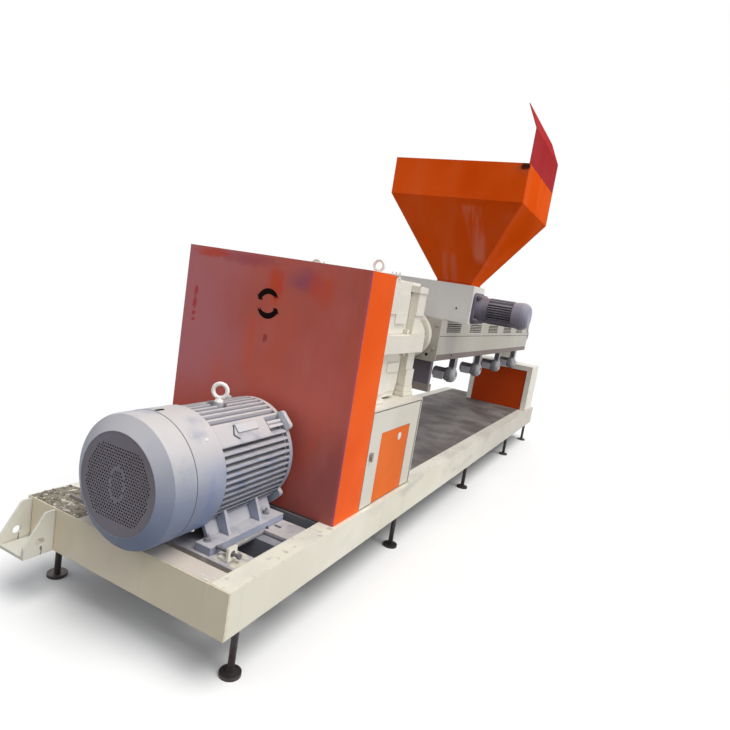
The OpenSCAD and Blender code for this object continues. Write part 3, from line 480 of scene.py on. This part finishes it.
def hood_louvre_shade(f, base):
    """Painted shade round the louvres, and dark inner faces, a painted shade that shows through
    them.
    """
    row = f.math("DIVIDE", f.math("SUBTRACT", f.z, LOUVRE_Z - LOUVRE_ROW / 2), LOUVRE_ROW)
    off_row = f.math("ABSOLUTE", f.math("SUBTRACT", f.math("FRACT", row), 0.5))
    louvre_shade_rows = f.times(
        f.step(off_row, 0.33, 0.27),
        f.step(f.z, LOUVRE_Z - 7, LOUVRE_Z - 6),
        f.step(f.z, LOUVRE_Z + 61, LOUVRE_Z + 60),
    )
    along = f.math("MODULO", f.math("SUBTRACT", f.y, LOUVRE_Y), LOUVRE_PITCH)
    groups = f.times(f.step(along, -1, 1), f.step(along, LOUVRE_LEN + 1, LOUVRE_LEN - 1))
    # Painted shade: dark bands along the louvre rows on the hood's sides
    base = f.over(base, PAINTED_SHADE, louvre_shade_rows, groups, f.step(f.upward, 0.3, 0.1), 0.9)
    inside = f.times(
        f.step(f.math("ABSOLUTE", f.x), COVER_HALF - 1.5, COVER_HALF - 2.5),
        f.step(f.z, COVER_TOP - 1.5, COVER_TOP - 2.5),
    )
    # Painted shade: the inner faces are painted nearly black
    return f.over(base, srgb(34, 32, 34), inside)


def throat_foot(f, base):
    """The lower foot of the feed throat, left in a paler primer."""
    return f.over(base, srgb(148, 136, 128), f.step(f.z, THROAT_FOOT_Z + 1, THROAT_FOOT_Z - 1))


CREAM = painted("cream_paint", pair(232, 227, 217), rough=0.4, grime=0.08, dust=0.35)
COVER = painted("cover_paint", COVER_DUSTY_AND_SHADED, grime=0.12, dust=0.4)
HOOD = painted("hood_paint", COVER_DUSTY_AND_SHADED, grime=0.12, dust=0.4, recolour=hood_louvre_shade)
FEEDER = painted("feeder_paint", pair(240, 239, 235), rough=0.4, grime=0.08, dust=0.35)
PEDESTAL = painted("pedestal_paint", pair(224, 220, 210), rough=0.4, grime=0.08, dust=0.6)
BEAM = painted("beam_paint", pair(240, 236, 222), rough=0.4, grime=0.06, dust=0.4, chips=0.6,
               recolour=beam_coat)
END_PLATE = painted("end_plate_paint", pair(238, 226, 204), rough=0.4, grime=0.08, dust=0.4,
                    chips=0.6)
STRIP = painted("front_strip_paint", pair(226, 214, 204), rough=0.5, grime=0.1, dust=0.7,
                chips=0.6, recolour=strip_scratches)
HITCH = painted("hitch_paint", pair(222, 220, 210), rough=0.4, grime=0.1, dust=0.4, chips=0.6,
                recolour=hitch_runs)
BED = painted("bed_primer", pair(178, 172, 176), rough=0.6, grime=0.2, dust=0.5,
              recolour=bed_dirt_and_painted_light, peel=0.0004)
DECK = painted("deck_primer", pair(96, 88, 89), rough=0.6, grime=0.3, dust=0.2,
               recolour=deck_dirt_and_shade, peel=0.0004)
# The pale pink chip colour along its edges is a painted highlight on them
ORANGE = painted("orange_paint", pair(250, 100, 24), rough=0.36, grime=0.03, dust=0.12,
                 chips=0.5, chip=srgb(255, 150, 118), specular=0.05)
INSET = painted("inset_paint", pair(240, 116, 40), rough=0.4, grime=0.05, dust=0.15, chips=0.3,
                specular=0.05)
# Darker than the other oranges, partly painted shade, as the panel lies in shade under the
# machine
PANEL = painted("orange_panel_paint", pair(178, 64, 22), rough=0.4, grime=0.12, dust=0.2,
                specular=0.05)
HOPPER = painted("hopper_paint", pair(238, 92, 26), rough=0.34, grime=0.02, dust=0.15,
                 chips=0.4, chip=srgb(236, 140, 110), recolour=hopper_coat, peel=0.0002,
                 specular=0.0)
CRIMSON = painted("crimson_paint", pair(200, 104, 94), rough=0.36, grime=0.05, dust=0.3,
                  chips=0.5, chip=srgb(214, 120, 120), recolour=guard_coat)
SPLASH = painted("splash_paint", pair(180, 60, 66), rough=0.4, grime=0.1, dust=0.1,
                 chip=srgb(190, 150, 150), specular=0.0)
# Their strong pale dust on what faces up is also painted light for the motor's brighter top
MOTOR = cast("motor_paint", MOTOR_PAINT, dust=0.75, dust_colour=MOTOR_DUST_AND_TOP_LIGHT, recolour=motor_coat)
COWL = cast("cowl_paint", MOTOR_PAINT, rough=0.42, grain=0.00006, dust=0.9,
            dust_colour=MOTOR_DUST_AND_TOP_LIGHT, dust_patches=(130, 0.12, 0.56), recolour=cowl_shade_and_reflection)
GRILLE = painted("grille_paint", pair(132, 126, 136), rough=0.55, grime=0.1)
PURPLE = cast("purple_grey_paint", pair(118, 114, 130), rough=0.45, grain=0.00025, dust=0.3)
THROAT = cast("throat_paint", pair(112, 104, 112), recolour=throat_foot)
RAIL = painted("rail_paint", pair(130, 118, 116), rough=0.55, grime=0.5, dust=0.5)
SMALL_COWL = painted("small_cowl_paint", pair(150, 149, 166), rough=0.34, grime=0.1)
BLOWER = cast("blower_silver", pair(156, 157, 164), rough=0.3, grain=0.0001,
              recolour=blower_parts, specular=0.5)
JACK = painted("jack_paint", pair(230, 227, 216), rough=0.45, grime=0.2, recolour=jack_coat)
STEEL = metal("bare_steel", (srgb(160, 158, 156), srgb(120, 116, 112)), brushed=(1, 30, 1))
DARK_STEEL = metal("dark_steel", (srgb(104, 98, 98), srgb(76, 70, 70)), rough=0.5)
THREADED = metal("threaded_steel", (srgb(92, 86, 86), srgb(66, 60, 60)), rough=0.5, threads=True)
GREY_BOLT = painted("grey_bolt_paint", pair(142, 140, 150), rough=0.5, grime=0.4, dust=0.4)
WHITE_PAINT = painted("white_paint", pair(240, 237, 234), rough=0.4, grime=0.1, dust=0.2,
                      chips=0.08)
DARK_LINE = painted("dark_joint", pair(112, 114, 130), rough=0.6, grime=0.1, dust=0.1)
BLACK = painted("black_paint", (srgb(18, 8, 8), srgb(26, 14, 14)), rough=0.6, grime=0.0,
                dust=0.1, chips=0.0, specular=0.03)

# All nodes that aren't named here are CREAM
FINISHES = {
    "base_side_beams": BEAM, "base_end_plates": END_PLATE, "base_cross_members": BED,
    "base_front_strip": STRIP, "hitch_bracket": HITCH, "base_deck": DECK, "motor_bed": BED,
    "motor_jack_screw": JACK, "levelling_feet": THREADED,
    "motor_frame": MOTOR, "motor_feet": MOTOR, "motor_fan_cowl": COWL,
    "motor_fan_grille": GRILLE, "motor_end_shield": MOTOR, "motor_shaft": STEEL,
    "motor_lifting_eye": WHITE_PAINT, "motor_terminal_box": MOTOR,
    "guard_front_panel": CRIMSON, "guard_shell": ORANGE, "gearbox_lifting_eyes": WHITE_PAINT,
    "pedestal_shell": PEDESTAL, "pedestal_door": PEDESTAL, "pedestal_door_inset": INSET,
    "door_latch": STEEL,
    "feed_throat": THROAT, "barrel": STEEL, "screw_tip": STEEL, "outlet_flange": STEEL,
    "cover_front_plate": COVER, "cover_tray": HOOD, "cover_top": HOOD,
    "cover_rear_plate": COVER, "cover_rails": RAIL,
    "blower_1": BLOWER, "blower_2": BLOWER, "blower_3": BLOWER, "blower_4": BLOWER,
    "feeder_box": FEEDER, "feeder_motor_frame": PURPLE, "feeder_motor_cowl": SMALL_COWL,
    "hopper_funnel": HOPPER, "hopper_bin": HOPPER, "hopper_splash_board": SPLASH,
    "rear_support_panel": PANEL,
}
for node_name, node_object in NODES.items():
    node_object.data.materials.clear()
    node_object.data.materials.append(FINISHES.get(node_name, CREAM))


# Small pieces

def piece(name, bm, material, body="machine", smooth=False):
    """Makes an object of the mesh, in metres, and rides it on a body."""
    bmesh.ops.recalc_face_normals(bm, faces=bm.faces)
    mesh = bpy.data.meshes.new(name)
    bm.to_mesh(mesh)
    bm.free()
    made = bpy.data.objects.new(name, mesh)
    bpy.context.collection.objects.link(made)
    mesh.materials.append(material)
    if smooth:
        mesh.shade_smooth()
    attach(made, body)
    return made


def add_cone(bm, place, axis, r1, r2, height, segments=24):
    """A cone or cylinder that starts at the place and runs along the axis, sizes in mm."""
    turned = Vector(axis).to_track_quat("Z", "Y").to_matrix().to_4x4()
    middle = Matrix.Translation((0, 0, height / 2000))
    bmesh.ops.create_cone(
        bm, cap_ends=True, segments=segments, radius1=r1 / 1000, radius2=r2 / 1000,
        depth=height / 1000, matrix=Matrix.Translation(place) @ turned @ middle,
    )


def add_bolt(bm, place, axis, head=10.0, stud=0.0):
    """Washer, chamfered hexagon head and, with a stud, a threaded end that stands out of it."""
    add_cone(bm, place, axis, head * 1.35, head * 1.3, head * 0.22)
    along = Vector(axis).normalized()
    seat = place + along * head * 0.0002
    add_cone(bm, seat, axis, head, head, head * 0.85, 6)
    add_cone(bm, seat + along * head * 0.00084, axis, head * 0.98, head * 0.8, head * 0.14, 12)
    for turn in range(int(stud / 3)):
        foot = seat + along * (head * 0.00085 + turn * 0.003)
        add_cone(bm, foot, axis, head * 0.56, head * 0.5, 3.0, 12)


def bolts(name, places, axis, material=DARK_STEEL, slot="bare_steel", **sizes):
    """One piece with a bolt at each of the places."""
    bm = bmesh.new()
    for place in places:
        add_bolt(bm, place, axis, **sizes)
    return piece(name, bm, material)


def add_profile(bm, outline, place, across, up, depth):
    """A flat outline in mm, drawn on the plane of two directions and thickened by depth mm."""
    across, up = Vector(across), Vector(up)
    outward = across.cross(up)
    points = [place + across * (a / 1000) + up * (b / 1000) for a, b in outline]
    front = [bm.verts.new(p + outward * (depth / 1000)) for p in points]
    back = [bm.verts.new(p) for p in points]
    bm.faces.new(front)
    bm.faces.new(list(reversed(back)))
    for i in range(len(points)):
        j = (i + 1) % len(points)
        bm.faces.new([back[i], back[j], front[j], front[i]])


def add_rod(bm, points, radius, sides=8):
    """A round rod with rounded joints through the points, which are in metres, radius in mm."""
    for first, second in zip(points, points[1:]):
        reach = second - first
        add_cone(bm, first, reach, radius, radius, reach.length * 1000, sides)
    for point in points:
        bmesh.ops.create_icosphere(
            bm, subdivisions=1, radius=radius / 1000, matrix=Matrix.Translation(point)
        )


def on_cowl(angle, y):
    """A place on the fan cowl's outside, with the direction out of it."""
    a = math.radians(angle)
    outward = Vector((math.cos(a), 0, math.sin(a)))
    return at(MOTOR_X + COWL_R * outward.x, y, MOTOR_Z + COWL_R * outward.z), outward


# Main motor: foot bolts, a screw on the bed, the cowl's screws, seam and slot, and the guard
# wire round the plate on the pad

FOOT_BOLTS_Y = (FEET_FRONT + 40, FEET_REAR - 62)
BED_SCREW = (153, -231, BASE_TOP)
COWL_SCREW_ANGLES = (44, 136, 228, 312)
COWL_SCREWS_Y = -588
SEAM_Y = -683.0
SEAM_SIDES = 96
# The seam's bead: rise over the cowl's skin and step along Y
SEAM_PROFILE = ((-0.4, -2.6), (0.9, -1.6), (0.9, 1.6), (-0.4, 2.6))
NOTCH_ANGLE = 91
NOTCH_Y = -652.0
NOTCH_OUTLINE = (
    (-9, -16), (-7, -21), (0, -23), (7, -21), (9, -16), (9, 14), (6, 19), (0, 21), (-6, 19),
    (-9, 14),
)
# The wire's bends: y, and how far along the pad, counted upwards
PAD_WIRE = ((-397, 34), (-403, 20), (-421, -9), (-398, -30))
PAD_WIRE_RISE = PAD_RISE + 2
PAD_WIRE_R = 2.6

bolts(
    "motor_foot_bolts",
    [at(MOTOR_X + side * FOOT_BOLT_X, y, FOOT_TOP) for side in (-1, 1) for y in FOOT_BOLTS_Y],
    (0, 0, 1), GREY_BOLT, "motor_grey", head=12.0, stud=15.0,
)
bolts("bed_screw", [at(*BED_SCREW)], (0, 0, 1), head=6.0)

screws = bmesh.new()
for angle in COWL_SCREW_ANGLES:
    skin, outward = on_cowl(angle, COWL_SCREWS_Y)
    add_cone(screws, skin - outward * 0.001, outward, 9, 7, 4.5)
    add_cone(screws, skin + outward * 0.003, outward, 5, 4, 2.5, 6)
piece("cowl_screws", screws, WHITE_PAINT)

seam = bmesh.new()
ring = []
for i in range(SEAM_SIDES):
    a = 2 * math.pi * i / SEAM_SIDES
    for rise, step in SEAM_PROFILE:
        r = COWL_R + rise
        corner = at(MOTOR_X + r * math.cos(a), SEAM_Y + step, MOTOR_Z + r * math.sin(a))
        ring.append(seam.verts.new(corner))
width = len(SEAM_PROFILE)
for i in range(SEAM_SIDES):
    for k in range(width - 1):
        this, after = width * i + k, width * ((i + 1) % SEAM_SIDES) + k
        seam.faces.new([ring[this], ring[this + 1], ring[after + 1], ring[after]])
piece("cowl_seam", seam, DARK_LINE, smooth=True)

notch = bmesh.new()
skin, _ = on_cowl(NOTCH_ANGLE, NOTCH_Y)
add_profile(notch, NOTCH_OUTLINE, skin, (1, 0, 0), (0, 1, 0), 0.6)
piece("cowl_notch", notch, BLACK)

# The pad faces up and to the right, at 45 degrees
pad_wire = bmesh.new()
bends = [
    at(MOTOR_X + (PAD_WIRE_RISE - v) * DIAGONAL, y, MOTOR_Z + (PAD_WIRE_RISE + v) * DIAGONAL)
    for y, v in PAD_WIRE
]
add_rod(pad_wire, bends, PAD_WIRE_R)
piece("pad_wire", pad_wire, DARK_STEEL)


# Belt guard: two brushed arrows, one after the other round a ring

ARROW_CENTRE = at(-180, -0.7, 1365)
ARROW_RADIUS = 56
ARROW_WIDTH = 28
ARROW_HEAD = 25
# Where each arrow starts and stops and how far its first barb is drawn out, in degrees
ARROWS = ((30, 152, 4), (205, 328, 7))


def arrow_outline(start, stop, ragged):
    """A brushed arrow along an arc, in degrees: forked thin tail, swelling body, barbed head."""

    def on_arc(angle, rise):
        a = math.radians(angle)
        return (ARROW_RADIUS + rise) * math.cos(a), (ARROW_RADIUS + rise) * math.sin(a)

    count = 18
    turn = 1 if stop > start else -1
    outer, inner = [], []
    for i in range(count + 1):
        angle = start + (stop - start) * i / count
        swell = 0.25 + 0.75 * math.sin(math.pi * min(0.62, 0.1 + 0.62 * i / count))
        outer.append(on_arc(angle, ARROW_WIDTH * swell * 0.62))
        inner.append(on_arc(angle, -ARROW_WIDTH * swell * 0.38))
    # How far ahead of the stop each barb lies, in degrees, and its rise as a share of the head
    barbs = ((0, 1), (ragged, 0.6), (14, 0.2), (15, -0.2), (6, -0.75), (0, -0.6))
    head = [on_arc(stop + turn * ahead, ARROW_HEAD * share) for ahead, share in barbs]
    fork = on_arc(start + turn * 16, 1)
    return outer + head + list(reversed(inner)) + [fork]


arrows = bmesh.new()
for start, stop, ragged in ARROWS:
    outline = arrow_outline(start, stop, ragged)
    add_profile(arrows, outline, ARROW_CENTRE, (1, 0, 0), (0, 0, 1), -0.6)
piece("guard_turn_arrows", arrows, BLACK)


# Service door: round bare plate on its inset, at this (y, z)
ROUND_PLATE = (635, 739)
tag = bmesh.new()
add_cone(tag, at(INSET_FACE, *ROUND_PLATE), (1, 0, 0), 22, 21, 2.4, 40)
add_cone(tag, at(INSET_FACE + 2.2, *ROUND_PLATE), (1, 0, 0), 16, 15, 0.8, 40)
piece("door_round_plate", tag, WHITE_PAINT, body="door")

# Gearbox: studs behind the lifting eyes
TOP_STUDS_X = (212, 234, 256)
TOP_STUDS_Y = 500
bolts(
    "gearbox_top_studs",
    [at(side * x, TOP_STUDS_Y, GEARBOX_TOP) for side in (-1, 1) for x in TOP_STUDS_X],
    (0, 0, 1), WHITE_PAINT, "cream_paint", head=8.0, stud=24.0,
)

# Cover: bolts on its front plate
PLATE_BOLTS_X = 185
PLATE_BOLTS_Z = (1180, 1340)
bolts(
    "cover_plate_bolts",
    [at(side * PLATE_BOLTS_X, COVER_FRONT - 10, z) for side in (-1, 1) for z in PLATE_BOLTS_Z],
    (0, -1, 0), COVER, "cream_paint", head=9.0,
)

# Feeder: a screw on its box, and a bolt in each corner of its motor's flange
BOX_SCREW = (256, FEEDER_FRONT, 1474)
FLANGE_FACE = FEEDER_RIGHT + 40
FLANGE_BOLT_STEP = 81
bolts("feeder_box_screw", [at(*BOX_SCREW)], (0, -1, 0), head=5.0)
flange_corners = [
    (FEEDER_MOTOR_Y + sy * FLANGE_BOLT_STEP, FEEDER_MOTOR_Z + sz * FLANGE_BOLT_STEP)
    for sy in (-1, 1) for sz in (-1, 1)
]
bolts(
    "feeder_flange_bolts", [at(FLANGE_FACE, y, z) for y, z in flange_corners],
    (1, 0, 0), PURPLE, "purple_grey", head=9.0, stud=8.0,
)

# Outlet: a ring of bolts on its flange, round the screw axis
OUTLET_BOLTS = 8
OUTLET_BOLT_R = 130
bolt_angles = [math.radians((i + 0.5) * 360 / OUTLET_BOLTS) for i in range(OUTLET_BOLTS)]
bolts(
    "outlet_flange_bolts",
    [
        at(OUTLET_BOLT_R * math.cos(a), OUTLET_FRONT, SCREW_Z + OUTLET_BOLT_R * math.sin(a))
        for a in bolt_angles
    ],
    (0, -1, 0), head=14.0,
)

# Joint between the cover's hood and tray: a dark line of slightly uneven width on each side
JOINT_STEPS = 12
joint = bmesh.new()
span = (COVER_REAR - COVER_FRONT - 4) / JOINT_STEPS
stations = [COVER_FRONT + 2 + span * i for i in range(JOINT_STEPS + 1)]
lower = [(y, -1.5 - 0.3 * math.sin(i * 1.7)) for i, y in enumerate(stations)]
upper = [(y, 1.5 + 0.3 * math.cos(i * 2.3)) for i, y in enumerate(stations)]
for side in (-1, 1):
    start = at(side * COVER_HALF, 0, COVER_SEAM)
    add_profile(joint, lower + list(reversed(upper)), start, (0, 1, 0), (0, 0, 1), side * 0.5)
piece("cover_joint", joint, BLACK)

# Plug in the rail under the tray's right side, seen as a dark spot, at this (y, z)
PLUG = (1730, COVER_BASE - 14)
plug = bmesh.new()
add_cone(plug, at(COVER_HALF, *PLUG), (1, 0, 0), 8, 8, 1.5, 20)
add_cone(plug, at(COVER_HALF + 1.5, *PLUG), (1, 0, 0), 5, 4, 1.5, 6)
piece("rail_plug", plug, BLACK)


# Dried dirt on the base's front left corner: a lumpy skin with crumbs on it

CRUST_STEP = 5.0
CRUST_RIGHT = -430
CRUST_REAR = -460
# The skin also thins out towards a line: x and y of a place on it, and its slope
CRUST_LINE = (-560, -500, 0.25)
CRUMBS = 26
CRUMBS_X = (-742, -600)
CRUMBS_Y = (-725, -520)


def crust_height(x, y):
    """Height in mm of the dried dirt at a place."""
    line_x, line_y, slope = CRUST_LINE
    to_line = line_y - y + (x - line_x) * slope
    rim = min(x - BASE_LEFT - 4, y - BASE_FRONT - 4, (CRUST_RIGHT - x) * 0.8, to_line * 0.6)
    lumps = noise.fractal(Vector((x / 26, y / 26, 3.1)), 1.0, 2.0, 5)
    rough = 1.6 + 4.5 * lumps + 1.6 * noise.noise(Vector((x / 7, y / 7, 9.0)))
    return min(rough, rim * 0.5)


def in_gap(x, y):
    """Whether the place is over the gap between the front strip and the motor bed."""
    return x > BED_LEFT - 3 and STRIP_REAR - 3 < y < BED_FRONT + 3


def crust_material():
    """Matt cement grey with darker stains."""
    f = Finish("dried_dirt", 0.85, specular=0.05)
    base = f.blend(f.clouds(8, 0.42, 0.6, 6), srgb(160, 155, 140), srgb(130, 123, 110))
    base = f.over(base, srgb(100, 93, 84), f.clouds(22, 0.5, 0.66, 6, shift=3.0), 0.7)
    return f.finish(base, f.noise(5, 6), 0.002, 0.05)


crust = bmesh.new()
grid = {}
for i in range(int((CRUST_RIGHT - BASE_LEFT) / CRUST_STEP)):
    for j in range(int((CRUST_REAR - BASE_FRONT) / CRUST_STEP)):
        x, y = BASE_LEFT + 3 + i * CRUST_STEP, BASE_FRONT + 3 + j * CRUST_STEP
        height = crust_height(x, y)
        if height > -1.0 and not in_gap(x, y):
            grid[i, j] = crust.verts.new(at(x, y, BASE_TOP + max(height, -0.4)))
for i, j in grid:
    corners = [grid.get(key) for key in ((i, j), (i + 1, j), (i + 1, j + 1), (i, j + 1))]
    if all(corners):
        crust.faces.new(corners)
bmesh.ops.delete(crust, geom=[v for v in crust.verts if not v.link_faces], context="VERTS")

draw = random.Random(7)
for _ in range(CRUMBS):
    x, y = draw.uniform(*CRUMBS_X), draw.uniform(*CRUMBS_Y)
    if in_gap(x, y):
        continue
    size = draw.uniform(3, 9) / 1000
    crumb = bmesh.ops.create_icosphere(
        crust, subdivisions=1, radius=size, matrix=Matrix.Translation(at(x, y, BASE_TOP + 3))
    )
    for vertex in crumb["verts"]:
        vertex.co += Vector([draw.uniform(-0.25, 0.25) * size for _ in range(3)])
piece("base_dried_dirt", crust, crust_material())


# Floor, light and camera

FLOOR_HALF = 60
# The floor turns plain white between these distances from the middle, in metres, where the
# distance along Y counts for less
CLEAR_FROM = 1.4
CLEAR_TO = 4.6
CLEAR_SHARE_Y = 0.45
# The floor's own two tones, and the darker one by which it lights the object from below
FLOOR_PALE = (0.93, 0.93, 0.93, 1)
FLOOR_PALER = (0.97, 0.97, 0.97, 1)
FLOOR_BOUNCE = (0.16, 0.16, 0.165, 1)


def floor_material():
    """Pale floor that keeps the shadow near the machine and turns plain white further off."""
    material = bpy.data.materials.new("floor_pale")
    material.use_nodes = True
    f = NodeTree(material.node_tree)
    shader = f.tree.nodes["Principled BSDF"]
    shader.inputs["Roughness"].default_value = 0.85
    shader.inputs["Specular IOR Level"].default_value = 0.1
    seen = f.seen()
    place = f.add("ShaderNodeTexCoord").outputs["Object"]
    speckle = f.add("ShaderNodeTexNoise", {"Vector": place, "Scale": 1.3}).outputs[0]
    pale = f.blend(speckle, FLOOR_PALE, FLOOR_PALER)
    f.put(shader.inputs["Base Color"], f.blend(seen, FLOOR_BOUNCE, pale))
    far = f.vector("LENGTH", f.vector("MULTIPLY", place, (1.0, CLEAR_SHARE_Y, 0.0)))
    clear = f.times(f.step(far, CLEAR_FROM, CLEAR_TO), seen)
    plain_white = f.add("ShaderNodeEmission").outputs[0]
    mixed = f.add("ShaderNodeMixShader", {0: clear, 1: shader.outputs[0], 2: plain_white})
    f.put(f.tree.nodes["Material Output"].inputs[0], mixed.outputs[0])
    return material


floor = bpy.data.objects.new("floor", bpy.data.meshes.new("floor"))
floor_mesh = bmesh.new()
bmesh.ops.create_grid(floor_mesh, x_segments=2, y_segments=2, size=FLOOR_HALF)
floor_mesh.to_mesh(floor.data)
floor_mesh.free()
bpy.context.collection.objects.link(floor)
floor.data.materials.append(floor_material())

# The world lights the object faintly and is plain white to the camera and in reflections
SKY_STRENGTH = 0.42
SKY_COLOUR = (0.93, 0.96, 1.0, 1.0)
WHITE = (1.0, 1.0, 1.0, 1.0)
world = bpy.data.worlds.new("studio")
bpy.context.scene.world = world
world.use_nodes = True
sky = NodeTree(world.node_tree)
background = sky.tree.nodes["Background"]
background.inputs["Color"].default_value = SKY_COLOUR
background.inputs["Strength"].default_value = SKY_STRENGTH
plain_white = sky.add("ShaderNodeBackground", {"Color": WHITE, "Strength": 1.0}).outputs[0]
both = sky.add("ShaderNodeMixShader", {0: sky.seen(), 1: background.outputs[0], 2: plain_white})
sky.put(sky.tree.nodes["World Output"].inputs[0], both.outputs[0])

# A soft lamp overhead, a low one from the right and a faint one from the front left: where
# each shines from, its strength, its width in degrees and its colour
WARM = (1.0, 0.985, 0.96)
COOL = (0.94, 0.97, 1.0)
LAMPS = {
    "top": ((0.38, -0.12, 0.92), 2.25, 40, WARM),
    "side_right": ((0.985, -0.12, 0.12), 1.3, 30, WARM),
    "fill_left": ((-0.75, -0.45, 0.48), 0.4, 60, COOL),
}
for lamp_name, (source, strength, softness, colour) in LAMPS.items():
    light = bpy.data.lights.new(lamp_name, "SUN")
    light.energy = strength
    light.angle = math.radians(softness)
    light.color = colour
    lamp = bpy.data.objects.new(lamp_name, light)
    lamp.rotation_euler = Vector(source).to_track_quat("Z", "Y").to_euler()
    bpy.context.collection.objects.link(lamp)

scene = bpy.context.scene
scene.view_settings.view_transform = "Standard"

# The photograph is a wide picture squeezed sideways into a square. The camera keeps its
# place and direction and shows its whole width, without the squeeze.
CAMERA_PLACE = (1467.0, -2200.0, 1518.0)
CAMERA_RIGHT = (0.8762, 0.4552, 0.1591)
CAMERA_UP = (-0.2035, 0.0499, 0.9778)
LENS_MM = 27.69
camera = bpy.data.objects.new("camera", bpy.data.cameras.new("camera"))
right = Vector(CAMERA_RIGHT).normalized()
up = (Vector(CAMERA_UP) - right * right.dot(Vector(CAMERA_UP))).normalized()
facing = Matrix((right, up, right.cross(up))).transposed().to_4x4()
camera.matrix_world = Matrix.Translation(at(*CAMERA_PLACE)) @ facing
camera.data.lens = LENS_MM
camera.data.sensor_width = 36.0
camera.data.clip_start = 0.05
camera.data.clip_end = 200.0
bpy.context.collection.objects.link(camera)
scene.camera = camera
